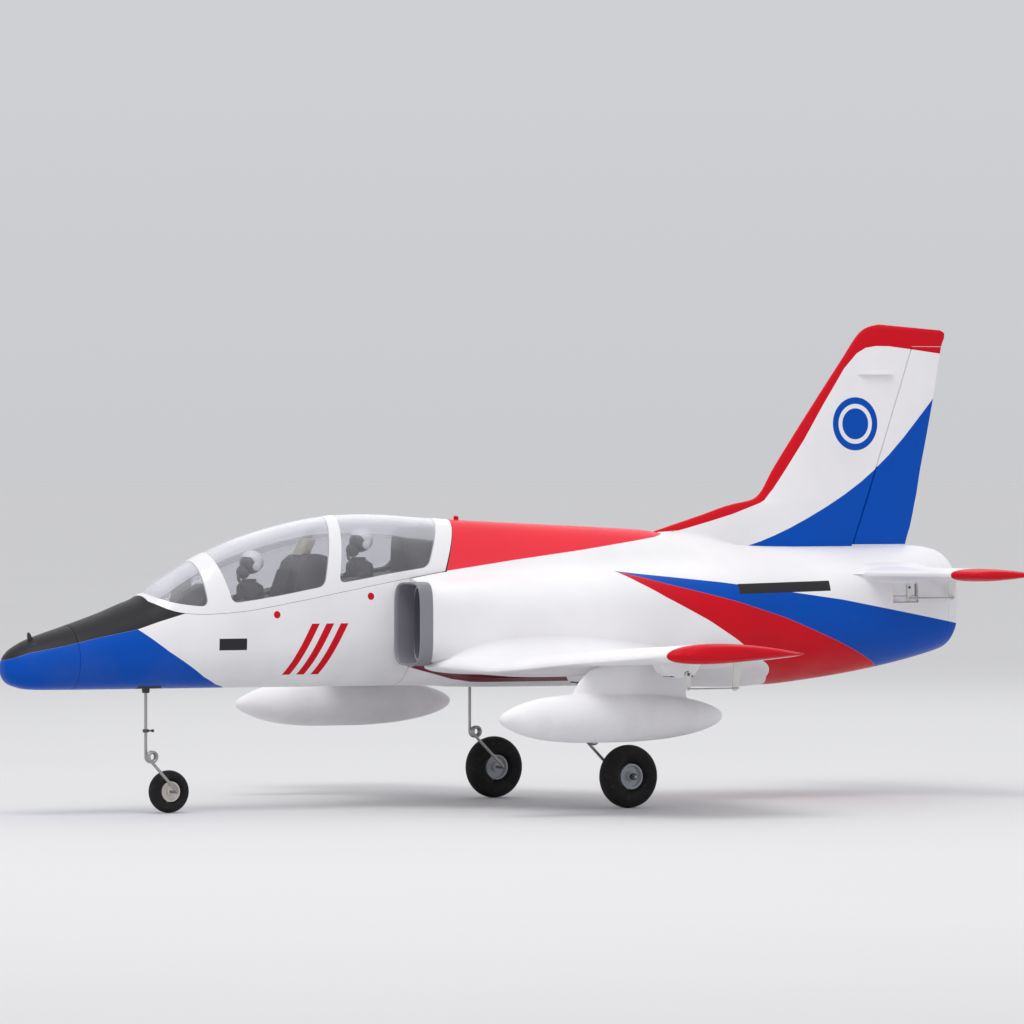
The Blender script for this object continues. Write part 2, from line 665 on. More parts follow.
def lathe(name, profile, centre, axis, steps, mat, closed=True, angle=32):
    """(along, radius) points turned about an axis; closed makes a ring, open is capped."""
    origin, along = Vector(centre), Vector(axis).normalized()
    u = along.orthogonal().normalized()
    v = along.cross(u)
    rings = []
    for i in range(steps):
        t = 2 * math.pi * i / steps
        outward = u * math.cos(t) + v * math.sin(t)
        rings.append([origin + along * p + outward * r for p, r in profile])
    if closed:
        return loft(name, rings, mat, closed=True, angle=angle)
    n = len(profile)
    faces = []
    for i in range(steps):
        a, b = i * n, ((i + 1) % steps) * n
        faces += [(a + k, a + k + 1, b + k + 1, b + k) for k in range(n - 1)]
    faces.append(tuple(i * n for i in range(steps)))
    faces.append(tuple(i * n + n - 1 for i in range(steps)))
    return make(name, [p for ring in rings for p in ring], faces, mat, angle)


def rounded(path, radius, count=6):
    """The path with each corner turned into an arc-like bend."""
    points = [Vector(p) for p in path]
    out = [points[0]]
    for a, b, c in zip(points, points[1:], points[2:]):
        u, v = (a - b), (c - b)
        r = min(radius, u.length * .49, v.length * .49)
        p, q = b + u.normalized() * r, b + v.normalized() * r
        out += [bezier(p, b, q, k / count) for k in range(count + 1)]
    out.append(points[-1])
    return out


def tube(name, path, radius, sides, mat, taper=None):
    """Round wire along a path, its frame carried along without twist."""
    points = [Vector(path[0])]
    for p in map(Vector, path[1:]):
        if (p - points[-1]).length > 1e-5:
            points.append(p)
    last = len(points) - 1
    turns = [2 * math.pi * k / sides for k in range(sides)]
    rings, up = [], None
    for i, p in enumerate(points):
        along = (points[min(i + 1, last)] - points[max(i - 1, 0)]).normalized()
        if up is None:
            up = along.orthogonal().normalized()
        up = (up - along * up.dot(along)).normalized()
        side = along.cross(up)
        r = radius * (taper(i / last) if taper else 1)
        rings.append([p + (up * math.cos(t) + side * math.sin(t)) * r for t in turns])
    return loft(name, rings, mat, angle=50)


def evaluated_mesh(obj):
    bpy.context.view_layer.update()
    graph = bpy.context.evaluated_depsgraph_get()
    return bpy.data.meshes.new_from_object(obj.evaluated_get(graph))


def boolean(obj, cutter, how="DIFFERENCE"):
    """Exact Boolean, applied. The cutter's own material stays on the faces it makes."""
    mod = obj.modifiers.new("join", "BOOLEAN")
    mod.operation = how
    mod.solver = "EXACT"
    mod.material_mode = "TRANSFER"
    mod.object = cutter
    mesh = evaluated_mesh(obj)
    obj.modifiers.clear()
    old_mesh = obj.data
    obj.data = mesh
    bpy.data.meshes.remove(old_mesh)
    bpy.data.objects.remove(cutter)


def drill(obj, x0, x1, s, z, radius, steps):
    """A small hole along x through a nylon part."""
    profile = [(x0, radius), (x1, radius)]
    boolean(obj, lathe("cutter", profile, at(0, s, z), X_AXIS, steps, "arm", closed=False))


def screw_head(x, s, z, radius):
    profile = [(x, radius), (x + .0010, radius), (x + .0012, radius - .0004)]
    return lathe("part", profile, at(0, s, z), X_AXIS, 20, "dark_steel", closed=False)


def mirrored(left, angle=32):
    """The same piece on the right side of the model."""
    name = left.name.replace("left", "right")
    mesh = left.data.copy()
    mesh.name = name
    for v in mesh.vertices:
        v.co.x = -v.co.x
    mesh.flip_normals()
    right = put_in_scene(name, mesh)
    smooth(right, angle)
    return right


def joined(name, objs):
    """Several closed shells as one piece, each in its own first material."""
    bm = bmesh.new()
    mats = []
    for obj in objs:
        start = len(bm.faces)
        bm.from_mesh(obj.data)
        bm.faces.ensure_lookup_table()
        look = obj.data.materials[0]
        if look not in mats:
            mats.append(look)
        for face in bm.faces[start:]:
            face.material_index = mats.index(look)
    mesh = bpy.data.meshes.new(name)
    bm.to_mesh(mesh)
    bm.free()
    for look in mats:
        mesh.materials.append(look)
    for obj in objs:
        bpy.data.objects.remove(obj)
    obj = put_in_scene(name, mesh)
    smooth(obj, 40)
    return obj


def stands_for(obj, node=None):
    """obj takes a CAD node's place; the node is the one in its name unless another is given."""
    node = node or obj.name.removeprefix("skin_")
    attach(obj, NODES[node]["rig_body"])
    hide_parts(node)


def both_stand(left, node=None, angle=32):
    """A left piece and its mirror image, each for its own CAD node."""
    right = mirrored(left, angle)
    stands_for(left, node)
    stands_for(right, node and node.replace("left", "right"))


def extra(obj, body="airframe"):
    """obj is an addition to the CAD, carried by a body."""
    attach(obj, body)


def both_extra(left, body="airframe"):
    right = mirrored(left)
    extra(left, body)
    extra(right, body.replace("left", "right"))


def dress(node, mat, bevel=0.0, segments=2):
    """A CAD node that keeps its shape: a material and softened edges."""
    obj = NODES[node]
    obj.data.materials.clear()
    obj.data.materials.append(M[mat])
    if bevel:
        mod = obj.modifiers.new("soft_edges", "BEVEL")
        mod.width = bevel
        mod.segments = segments
        mod.limit_method = "ANGLE"
        mod.angle_limit = math.radians(40)
        mod.harden_normals = False


# ---------------------------------------------------------------- body surface
def body_radius(s, angles, cheeks):
    """Distance from the body's middle to its skin at angles, with or without intake trunks."""
    c, d = np.cos(angles), np.sin(angles)
    line_s, shrink = s, 1.0
    if s < BLUNT_S:
        line_s, shrink = BLUNT_S, (max(s, 1e-7) / BLUNT_S) ** .36
    width = HALF_WIDTH(line_s) * shrink
    up = (TOP(line_s) - MID(line_s)) * shrink
    down = (MID(line_s) - BOTTOM(line_s)) * shrink
    height = np.where(d >= 0, up, down)
    power = np.where(d >= 0, 2.05, 2.5)
    core = (np.abs(c / width) ** power + np.abs(d / height) ** power) ** (-1 / power)
    if not cheeks:
        return core
    height = np.where(d >= 0, CHEEK_UP(s), CHEEK_DOWN(s))
    # squarer where the trunks meet the intake lips
    power = 3.0 + 2.6 * clamp01((.452 - s) / .077)
    trunk = (np.abs(c / CHEEK_WIDTH(s)) ** power + np.abs(d / height) ** power) ** (-1 / power)
    return (core**9 + trunk**9) ** (1 / 9)


def body_ring(s, count, cheeks, grow=0.0):
    angles = 2 * np.pi * np.arange(count) / count - np.pi / 2
    r = body_radius(s, angles, cheeks) + grow
    return ring_of(r * np.cos(angles), s, MID(s) + r * np.sin(angles))


HALF_TURN = np.linspace(-math.pi / 2, math.pi / 2, 721)
sections = {}


def section(s, cheeks):
    """Half-widths and heights round one side of the body, kept for reuse."""
    key = (round(float(s), 7), cheeks)
    if key not in sections:
        r = body_radius(float(s), HALF_TURN, cheeks)
        sections[key] = (r * np.cos(HALF_TURN), MID(s) + r * np.sin(HALF_TURN))
    return sections[key]


def body_x(s, z, cheeks=True):
    """Half-width of the body at a height."""
    widths, heights = section(s, cheeks)
    return float(np.interp(z, heights, widths))


def body_top(s, x):
    """Height of the upper body surface at a distance from the centre plane."""
    widths, heights = section(s, True)
    k = int(np.argmax(widths))
    return float(np.interp(x, widths[k:][::-1], heights[k:][::-1]))


def upper_x(s, z):
    rise = clamp01((z - MID(s)) / (TOP(s) - MID(s)))
    return HALF_WIDTH(s) * (1 - rise**2.05) ** (1 / 2.05)


def slot_ring(s, x, half_w, half_h, z, count, power):
    """Rounded rectangle about (x, z)."""
    t = 2 * np.pi * (np.arange(count) + .5) / count
    c, d = np.cos(t), np.sin(t)
    r = (np.abs(c) ** power + np.abs(d) ** power) ** (-1 / power)
    return ring_of(x + half_w * r * c, s, z + half_h * r * d)


def round_loft(name, rows, mat):
    """Loft of circles on the centre plane, from (s, radius, z) rows."""
    t = 2 * np.pi * np.arange(72) / 72
    return loft(name, [ring_of(r * np.cos(t), s, z + r * np.sin(t)) for s, r, z in rows], mat)


def body_skin(name, stations, count, cheeks, front=True):
    """Body shell turned in a little at its rear joint, and its front one, so each shows."""
    depth = .0002
    start, end = stations[0], stations[-1]
    rows = [(s, 0.0) for s in stations[:-1]]
    if front:
        rows[:1] = [(start, -depth), (start + depth * .35, -depth * .3), (start + depth, 0.0)]
    rows += [(end - depth, 0.0), (end - depth * .35, -depth * .3), (end, -depth)]
    return loft(name, [body_ring(s, count, cheeks, grow) for s, grow in rows], "body")


# ---------------------------------------------------------------- fuselage
RING, REAR_RING = 168, 216          # points round the body

stations = [.00003, .0002, .0006, .0012, .002, .003, .0044, BLUNT_S]
stations += list(np.linspace(.0075, NOSE_JOINT, 30))
stands_for(body_skin("skin_nose_cone", stations, RING, False, front=False))


def cut_hatch(skin):
    """Opening under the canopy hatch."""
    outline = [(.130, .300), (.130, .1816)]
    for k in range(1, 60):
        s = .130 + (.4100 - .130) * k / 60
        outline.append((s, SEAM(s)))
    outline += [(.4106, .2055), (.4165, .2178), (.4230, .2324), (.4312, .2489), (.4336, .2540),
                (.4336, .300)]
    boolean(skin, side_prism("cutter", outline, -.09, .09, "foam"))


def front_body():
    stations = list(np.linspace(NOSE_JOINT + GAP, CHEEK_START - GAP, 110))
    skin = body_skin("skin_fuselage_front", stations, RING, False)
    cut_hatch(skin)
    # equipment bay and its narrower front end, as (x, z) outlines
    bay = [(-.019, .1125), (.019, .1125), (.0285, .138), (.0295, .168), (.0275, .215),
           (-.0275, .215), (-.0295, .168), (-.0285, .138)]
    narrow = [(x * 0.82, z if z > .12 else .1125) for x, z in bay]
    for outline, ends in ((bay, (.168, .366)), (narrow, (.148, .172))):
        rings = [[at(x, s, z) for x, z in outline] for s in ends]
        boolean(skin, loft("cutter", rings, "foam"))
    # opening for the nose gear block
    boolean(skin, box("cutter", (.0010, .0190), (.1212, .1432), (.095, .1235), "foam"))
    smooth(skin, 30)
    stands_for(skin)


def rear_body():
    stations = [CHEEK_START] + list(np.linspace(.3765, BODY_END, 170))
    skin = body_skin("skin_fuselage_rear", stations, REAR_RING, True, front=False)
    cut_hatch(skin)
    duct_x, duct_w, duct_h = columns(DUCT)
    for side in (1, -1):
        rows = [slot_ring(s, side * duct_x(s), duct_w(s), duct_h(s),
                          z=LIP_Z + (DUCT_Z - LIP_Z) * (s - .37) / .12, count=48,
                          power=4.6 - 1.4 * min(1.0, (s - .37) / .02))
                for s in np.linspace(.3700, .4900, 16)]
        boolean(skin, loft("cutter", rows, "duct"))
    fan_bay = [(y_of(.4800), .0355), (y_of(.5760), .0355)]
    boolean(skin, lathe("cutter", fan_bay, (0, 0, DUCT_Z), Y_AXIS, 72, "duct", closed=False))
    boolean(skin, round_loft("cutter", [(.5700, .0352, DUCT_Z), (.9500, .0318, .1766)], "duct"))
    # pocket for the elevator servo
    boolean(skin, box("cutter", (.0372, .066), (.8603, .8895), (.1745, .1928), "white"))
    smooth(skin, 30)
    stands_for(skin)


def belly_fairing():
    """Raised fairing under the wing roots, its edge running down into the skin."""
    rows = []
    for s in np.concatenate([np.linspace(.4200, .4500, 10), np.linspace(.46, .70, 36),
                             np.linspace(.7035, .7420, 22)]):
        top = .1285
        if s >= .706:
            top -= .030 * (1 - math.sqrt(max(0.0, 1 - ((s - .706) / .036) ** 2)))
        top_angle = math.atan2(top - MID(s), body_x(s, top))
        angles = np.linspace(-math.pi - top_angle, top_angle, 61)
        end = min(1.0, (s - .4200) / .010, (.7420 - s) / .006)
        fade = np.minimum(1.0, np.minimum(angles - angles[0], angles[-1] - angles) / .055)
        lift = -.0009 + .0014 * np.sqrt(np.clip(fade, 0, 1)) * math.sqrt(max(end, 0))
        r = body_radius(s, angles, True)
        radii = np.concatenate([r + lift, (r - .0045)[::-1]])
        turn = np.concatenate([angles, angles[::-1]])
        rows.append(ring_of(radii * np.cos(turn), s, MID(s) + radii * np.sin(turn)))
    stands_for(loft("skin_belly_fairing", rows, "fairing", angle=45))


front_body()
rear_body()
belly_fairing()


# ---------------------------------------------------------------- wing
def foil_depth(f):
    """Half-thickness of the section, per unit thickness, at chord fraction f."""
    return 5 * (0.2969 * np.sqrt(f) - 0.1260 * f - 0.3516 * f**2 + 0.2843 * f**3 - 0.1015 * f**4)


def foil(count):
    """Chord fraction, depth and side (1 or -1) round a section, from the trailing edge."""
    k = np.arange(2 * count + 1)
    f = (1 + np.cos(np.pi * k / count)) / 2
    return f, foil_depth(f), np.where(k <= count, 1, -1)


def wing_row(x):
    """Leading edge, trailing edge, height and thickness; the tip is rounded off."""
    if x <= .3675:
        return tuple(curve(x) for curve in WING_CURVES)
    lead, trail, z, _ = (curve(min(x, .3690)) for curve in WING_CURVES)
    return lead, trail, z, .0128 * math.sqrt(max(0.0, 1 - ((x - .3675) / .0026) ** 2))


def wing_ring(x):
    lead, trail, z, thick = wing_row(x)
    f, depth, way = foil(34)
    half = depth * thick * np.where(way > 0, 1.0, WING_LOW(x)) + 0.0004 * f
    half[f < 1e-9] = 0
    return ring_of(x, lead + f * (trail - lead), z + 0.0064 * f * (1 - f) + way * half)


def wing_z(x, s, way):
    """Height of the wing's upper (way 1) or lower (way -1) skin."""
    lead, trail, z, thick = wing_row(x)
    f = clamp01((s - lead) / (trail - lead))
    share = 1.0 if way > 0 else WING_LOW(x)
    return z + .0064 * f * (1 - f) + way * (foil_depth(f) * thick * share + .0004 * f)


def hinge_wedge(p0, p1, up, depth, height, bevel, mat):
    """Cutter that keeps what lies aft of a hinge line, with its front bevelled."""
    up, aft = Vector(up), Vector(Y_AXIS)
    back = height * math.tan(math.radians(bevel))
    shape = [(0, 0), (back, height), (depth, height), (depth, -height), (back, -height)]
    rings = [[Vector(p) + aft * f + up * h for f, h in shape] for p in (p0, p1)]
    return loft("cutter", rings, mat)


def aileron_hinge(x):
    """(s, z) of the hinge, on straight lines between the wing's measured sections."""
    a, b = next((a, b) for a, b in zip(WING, WING[1:]) if a[0] <= x <= b[0])
    f = (x - a[0]) / (b[0] - a[0])
    lead, trail, z = (a[k] + f * (b[k] - a[k]) for k in (1, 2, 3))
    return lead + .745 * (trail - lead), z + .0012


wing_x = [WING_IN, .066, .072, .078, .082, .086, .090, .094, .098, .102, .107, .113, .120, .130]
wing_x += list(np.linspace(.142, .352, 22))
wing_x += [.358, .362, .3645, .3660, .3675, .3683, .3689, .3694, .3697, .3699, .37005]
wing = loft("skin_wing_left", [wing_ring(x) for x in wing_x], "wing")
aileron = loft("skin_aileron_left", [wing_ring(x) for x in wing_x], "wing")

hinge_in, hinge_out = aileron_hinge(AILERON_IN), aileron_hinge(AILERON_OUT)
boolean(aileron, hinge_wedge(at(AILERON_IN, *hinge_in), at(AILERON_OUT, *hinge_out), Z_AXIS,
                             .09, .014, 26, "white"), "INTERSECT")
SLIT_S, SLIT_X = .0007, .0005       # clearances ahead of and beside the aileron
inner, outer = AILERON_IN - SLIT_X, AILERON_OUT + SLIT_X
outline = [(inner, hinge_in[0] - SLIT_S), (outer, hinge_out[0] - SLIT_S), (outer, .70),
           (inner, .70)]
boolean(wing, plan_prism("cutter", outline, .08, .20, "white"))
boolean(wing, box("cutter", (SERVO_X - .0063, SERVO_X + .0063), (.4957, .5193), (.100, .1300),
                  "foam"))
# pocket round the main gear block
boolean(wing, box("cutter", (.0927, .1173), (.5047, .5303), (.090, .1163), "foam"))
for obj in (wing, aileron):
    smooth(obj, 30)

# aileron horn and its base plate
hinge_s, horn_top = aileron_hinge(SERVO_X + .0085)
horn_s, horn_z = hinge_s + .0055, .1085
outline = [(hinge_s + .0045, horn_top - .0015), (hinge_s + .0135, horn_top - .0015)]
outline += [(horn_s + ds, horn_z + dz) for ds, dz in (
    (.0034, .004), (.0026, -.0012), (.0012, -.0024), (-.0012, -.0024), (-.0026, -.0012))]
horn = side_prism("part", outline, SERVO_X + .0078, SERVO_X + .0092, "arm")
drill(horn, SERVO_X + .006, SERVO_X + .012, horn_s, horn_z, radius=.0006, steps=16)
skin_z = wing_z(SERVO_X + .0085, hinge_s + .009, -1)
plate = box("part", (SERVO_X + .0050, SERVO_X + .0120), (hinge_s + .0035, hinge_s + .0150),
            (skin_z - .0008, skin_z + .0012), "arm", .0003)
aileron_horn = joined("aileron_horn_left", [horn, plate])

# aileron servo with its cover, arm and pushrod
case = box("part", (SERVO_X - .0060, SERVO_X + .0060), (.4960, .5190), (.1185, .1297), "black",
           .0005)
boss = lathe("part", [(SERVO_X + .0050, .0026), (SERVO_X + .0062, .0026),
                      (SERVO_X + .0064, .0020)],
             at(0, SERVO_S, SERVO_Z + .0015), X_AXIS, 24, "black", closed=False)
servo = joined("skin_aileron_servo_left", [case, boss])
outline = [(.4860, .1290), (.4905, .1225), (.4960, .1188), (.5030, .1176), (.5150, .1176),
           (.5205, .1200), (.5245, .1245), (.5265, .1300), (.5265, .1320), (.4860, .1320)]
cover = side_prism("aileron_servo_cover_left", outline, SERVO_X - .0090, SERVO_X + .00615,
                   "white")
soften(cover, .0022, 4, 20)
# half of the arm's outline as (half-length, z), from the top down
half = [(.0012, SERVO_Z + .0034), (.0026, SERVO_Z + .0022), (.0026, SERVO_Z - .0002),
        (.0018, horn_z - .0005), (.0010, horn_z - .0015)]
outline = [(SERVO_S - .0026, SERVO_Z + .0022), (SERVO_S - .0012, SERVO_Z + .0034)]
outline += [(SERVO_S + ds, z) for ds, z in half]
outline += [(SERVO_S - ds, z) for ds, z in half[:1:-1]]
arm = side_prism("part", outline, SERVO_X + .0067, SERVO_X + .0078, "arm")
drill(arm, SERVO_X + .005, SERVO_X + .012, SERVO_S, horn_z, radius=.0005, steps=14)
screw = screw_head(SERVO_X + .0072, SERVO_S, SERVO_Z + .0015, radius=.0013)
servo_arm = joined("skin_aileron_arm_left", [arm, screw])
path = [at(SERVO_X + .0088, SERVO_S - .001, horn_z), at(SERVO_X + .0120, SERVO_S + .007, horn_z),
        at(SERVO_X + .0120, horn_s + .0020, horn_z)]
pushrod = tube("skin_aileron_pushrod_left", rounded(path, .002), .0006, 12, "steel")

both_stand(wing)
both_stand(aileron)
both_stand(servo)
both_stand(servo_arm, "aileron_servo_arm_left")
both_stand(pushrod)
both_extra(cover)
both_extra(aileron_horn, "aileron_left")


def wing_fillet(label, way, height, width, s0, s1, mat):
    """Blend between the body and the wing's upper or lower skin."""
    rows = []
    for s in np.concatenate([np.linspace(s0, s0 + .02, 9)[:-1], np.linspace(s0 + .02, s1 - .02, 44),
                             np.linspace(s1 - .02, s1, 9)[1:]]):
        x = .080
        for _ in range(24):     # closes in on where the wing skin meets the body
            x = .5 * (x + body_x(s, wing_z(x, s, way)))
        zi = wing_z(x, s, way)
        f = (s - s0) / (s1 - s0)
        grow = max(.03, min(1.0, (4.2 * f * (1 - f)) ** .6))
        h, w = height * grow, width * grow
        z0 = zi + way * h
        on_body = Vector(at(body_x(s, z0) - .0001, s, z0))
        corner = Vector(at(x, s, zi))
        on_wing = Vector(at(x + w, s, wing_z(x + w, s, way) - way * .0001))
        rows.append([bezier(on_body, corner, on_wing, t) for t in np.linspace(0, 1, 13)]
                    + [at(x + w * .6, s, zi - way * .0030), at(x - .006, s, zi - way * .0030),
                       at(x - .006, s, z0 - way * h * .15)])
    both_extra(loft("wing_root_fillet_%s_left" % label, rows, mat, angle=50))


wing_fillet("upper", 1, height=.0150, width=.0230, s0=.392, s1=.668, mat="body")
wing_fillet("lower", -1, height=.0060, width=.0080, s0=.415, s1=.655, mat="fairing")


# ---------------------------------------------------------------- intake lips
def intake_lip():
    rows = []
    # s, half-width, half-height: outside from the front edge back, then inside forwards
    for s, w, h in ((.3588, .0170, .0342), (.3584, .0174, .0347), (.3583, .0178, .0352),
                    (.3586, .0182, .0356), (.3592, .0185, .0359), (.3602, .0187, .0361),
                    (.3650, .0188, .0362), (.3700, .0188, .0362), (.3743, .0188, .0362),
                    (.3743, .0150, .0330), (.3700, .0154, .0332), (.3650, .0159, .0335),
                    (.3615, .0163, .0338), (.3598, .0166, .0340)):
        x = LIP_X if w > .0165 else .0625
        row = slot_ring(s, x, w, h, LIP_Z, count=120, power=4.6)
        # the outboard side of the mouth is swept back
        fade = clamp01((.3735 - s) / .0110)
        row[:, 1] += (row[:, 0] - LIP_X) / .0188 * .0030 * fade + .0008 * fade
        rows.append(row)
    lip = loft("skin_intake_lip_left", rows, "lip", closed=True)
    body = [body_ring(s, RING, False, GAP) for s in (.345, .355, .365, .3752)]
    boolean(lip, loft("cutter", body, "lip"))
    lip.data.materials.append(M["duct"])
    for face in lip.data.polygons:
        q = face.center
        inside = abs((q.x - LIP_X) / .0176) ** 4 + abs((q.z - LIP_Z) / .0350) ** 4 < 1
        if inside and q.y + ORIGIN_S > .3592:
            face.material_index = len(lip.data.materials) - 1
    smooth(lip, 35)
    both_stand(lip)


intake_lip()

# ---------------------------------------------------------------- exhaust ring, thrust tube, fan
start = BODY_END + GAP * .5
rows = [body_ring(s, REAR_RING, True, grow)
        for s, grow in ((start, -.0002), (start + .0002, 0), (.9290, 0), (.9330, 0))]
base = rows[-1]
for s, f in ((.9348, .990), (.9364, .974), (.9378, .952), (.9390, .926), (.9397, .900),
             (.9400, .875), (.9400, .850)):
    rows.append(ring_of(base[:, 0] * f, s, EXHAUST_Z + (base[:, 2] - EXHAUST_Z) * f))
exhaust = loft("skin_exhaust_ring", rows, "body")
bore = [(s, r, EXHAUST_Z) for s, r in (
    (.9200, .0312), (.9380, .0330), (.9396, .0338), (.9450, .0350))]
boolean(exhaust, round_loft("cutter", bore, "duct"))
smooth(exhaust, 30)
stands_for(exhaust)

thrust = round_loft("skin_thrust_tube", [(.5760, .0346, DUCT_Z + .0002), (.9240, .0315, .17625)],
                    "tube")
boolean(thrust, round_loft("cutter", [(.5700, .0337, DUCT_Z), (.9300, .0306, .17645)], "tube"))
smooth(thrust, 30)
stands_for(thrust)


def fan_rotor():
    """Spinner and six twisted blades."""
    centre = at(0, FAN_S + .0080, DUCT_Z)
    root, tip, blades = .0125, .0304, 6
    profile = [(-.0240, .0008), (-.0236, .0022), (-.0222, .0046), (-.0196, .0073),
               (-.0160, .0099), (-.0110, .0121), (-.0050, .0136), (.0020, .0142), (.0080, .0142)]
    parts = [lathe("part", profile, centre, Y_AXIS, 48, "black", closed=False)]
    for k in range(blades):
        a = 2 * math.pi * k / blades
        rows = []
        for r in np.linspace(root, tip, 8):
            q = (r - root) / .0179
            twist, chord = math.radians(50 - 26 * q), .0120 + .0030 * math.sin(math.pi * q)
            row = []
            for t in np.linspace(0, 2 * math.pi, 17)[:-1]:
                f, w = .5 * math.cos(t), .00075 * math.sin(t) * (1 - .5 * q)
                bow = .0016 * (1 - 4 * f * f)
                along = f * chord * math.sin(twist) + (w + bow) * math.cos(twist)
                turn = f * chord * math.cos(twist) - (w + bow) * math.sin(twist)
                row.append((r * math.cos(a) - turn * math.sin(a), centre[1] + along,
                            DUCT_Z + r * math.sin(a) + turn * math.cos(a)))
            rows.append(row)
        parts.append(loft("part", rows, "black"))
    stands_for(joined("skin_fan_rotor", parts))


fan_rotor()
dress("fan_housing", "black", .0003)
dress("fan_motor", "brass", .0006)

# ---------------------------------------------------------------- fin and rudder


def rudder_hinge_s(z):
    (s0, z0), (s1, z1) = RUDDER_HINGE
    return s0 + (z - z0) * ((s1 - s0) / (z1 - z0))


def fin_ring(z):
    lead, trail, thick = (curve(z) for curve in FIN_CURVES)
    if z > .4195:
        thick = .0060 * math.sqrt(max(0.0, 1 - ((z - .4195) / .0058) ** 2)) + .0001
    f, depth, way = foil(30)
    half = depth * thick + 0.0005 * min(1, thick / .004)
    half[f < 1e-9] = 0
    s = lead + f * (trail - lead)
    # the tip cap slopes down aft
    drop = .0052 * np.clip((s - .880) / .070, 0, 1) * clamp01((z - .404) / .016)
    return ring_of(way * half, s, z - drop)


fin_z = [.2136, .2200, .2281, .2330, .2360, .2380, .2400, .2420, .2450, .2480, .2510, .2540,
         .2580, .2610, .2635, .2655, .2672, .2690, .2717, .2760, .2830]
fin_z += list(np.linspace(.2920, .4120, 26))
fin_z += [.4145, .4170, .4190, .4205, .4218, .4230, .4240, .4247, .4251, .4252]
fin = loft("skin_fin", [fin_ring(z) for z in fin_z], "fin")
rudder = loft("skin_rudder", [fin_ring(z) for z in fin_z], "fin")
low, high = .2262, .4050            # ends of the rudder
boolean(rudder, hinge_wedge(at(0, rudder_hinge_s(low), low), at(0, rudder_hinge_s(high), high),
                            X_AXIS, .12, .012, 28, "fin"), "INTERSECT")
high += .0004
outline = [(rudder_hinge_s(.20) - .0004, .20), (.98, .20), (.98, high),
           (rudder_hinge_s(high) - .0004, high)]
boolean(fin, side_prism("cutter", outline, -.02, .02, "fin"))
# the fin's foot, inside the body
outline = [(.600, .200), (.98, .200), (.98, .2195), (.730, .2195), (.690, .2270), (.600, .2350)]
boolean(fin, side_prism("cutter", outline, -.03, .03, "fin"))
smooth(rudder, 30)
stands_for(rudder)
for side in (1, -1):
    # flat strake, as (x, s) points
    strake = [(side * x, s) for x, s in ((.0010, .8540), (.0010, .8950), (.0066, .8945),
                                         (.0078, .8920), (.0078, .8650), (.0055, .8590))]
    boolean(fin, plan_prism("cutter", strake, .3795, .3808, "white"), "UNION")
smooth(fin, 30)
stands_for(fin)


def fin_half(s, z):
    """Half-thickness of the fin."""
    lead, trail, thick = (curve(max(z, .2136)) for curve in FIN_CURVES)
    f = clamp01((s - lead) / (trail - lead))
    return foil_depth(f) * thick + .0005 * (f > 0)


def fin_fillet(side, label):
    """Soft root where the fin rises from the spine."""
    rows = []
    for s in np.linspace(.648, .728, 34):
        grow = min(1.0, (s - .646) / .030) * min(1.0, max(.02, (.7290 - s) / .030))
        h, w = .0070 * grow, .0110 * grow
        half = max(fin_half(s, body_top(s, .004)), .0010)
        zi = body_top(s, half)
        on_fin = Vector(at(side * max(fin_half(s, zi + h), .0006), s, zi + h))
        corner = Vector(at(side * half, s, zi))
        on_body = Vector(at(side * (half + w), s, body_top(s, half + w) - .0001))
        rows.append([bezier(on_fin, corner, on_body, t) for t in np.linspace(0, 1, 11)]
                    + [at(side * (half + w * .6), s, zi - .005), at(side * .0001, s, zi - .005),
                       at(side * .0001, s, zi + h - .0005)])
    extra(loft("fin_root_fillet_" + label, rows, "white", angle=50))


for side, label in ((1, "left"), (-1, "right")):
    fin_fillet(side, label)


# ---------------------------------------------------------------- tailplane
def stab_ring(x):
    lead, trail, thick = (curve(x) for curve in STAB_CURVES)
    if x > .1805:
        thick = .0070 * math.sqrt(max(0.0, 1 - ((x - .1805) / .0036) ** 2))
        lead, trail = (curve(min(x, .1832)) for curve in STAB_CURVES[:2])
    f, depth, way = foil(28)
    half = depth * thick + 0.0005 * min(1, thick / .004)
    half[f < 1e-9] = 0
    return ring_of(x, lead + f * (trail - lead), STAB_Z + way * half)


stab_x = [.0395, .0450, .050, .0530, .0545, .0560, .060] + list(np.linspace(.068, .172, 20))
stab_x += [.1755, .1785, .1805, .1815, .1824, .1831, .1836, .18395]
stab = loft("skin_stabilizer_left", [stab_ring(x) for x in stab_x], "stab")
elevator = loft("skin_elevator_left", [stab_ring(x) for x in stab_x], "stab")
inner, outer = .0540, .1780         # ends of the elevator
boolean(elevator, hinge_wedge(at(inner, ELEVATOR_HINGE_S, STAB_Z),
                              at(outer, ELEVATOR_HINGE_S, STAB_Z),
                              Z_AXIS, .06, .012, 28, "stab"), "INTERSECT")
for x0, x1, s0 in ((inner - .0005, outer + .0005, ELEVATOR_HINGE_S - .0006),
                   (.030, .0600, .9120)):
    outline = [(x0, s0), (x1, s0), (x1, .97), (x0, .97)]
    boolean(stab, plan_prism("cutter", outline, .18, .22, "stab"))
for obj in (stab, elevator):
    smooth(obj, 30)
both_stand(stab)
both_stand(elevator)

ELEVATOR_ROD_Z = .1785
outline = [(.9185, .1985), (.9295, .1985), (.9278, .1790), (.9268, .1773), (.9250, .1764),
           (.9232, .1773), (.9222, .1790)]
horn = side_prism("elevator_horn", outline, .0560, .0574, "arm")
drill(horn, .054, .060, .9250, ELEVATOR_ROD_Z, radius=.0005, steps=14)
extra(horn, "elevator_left")


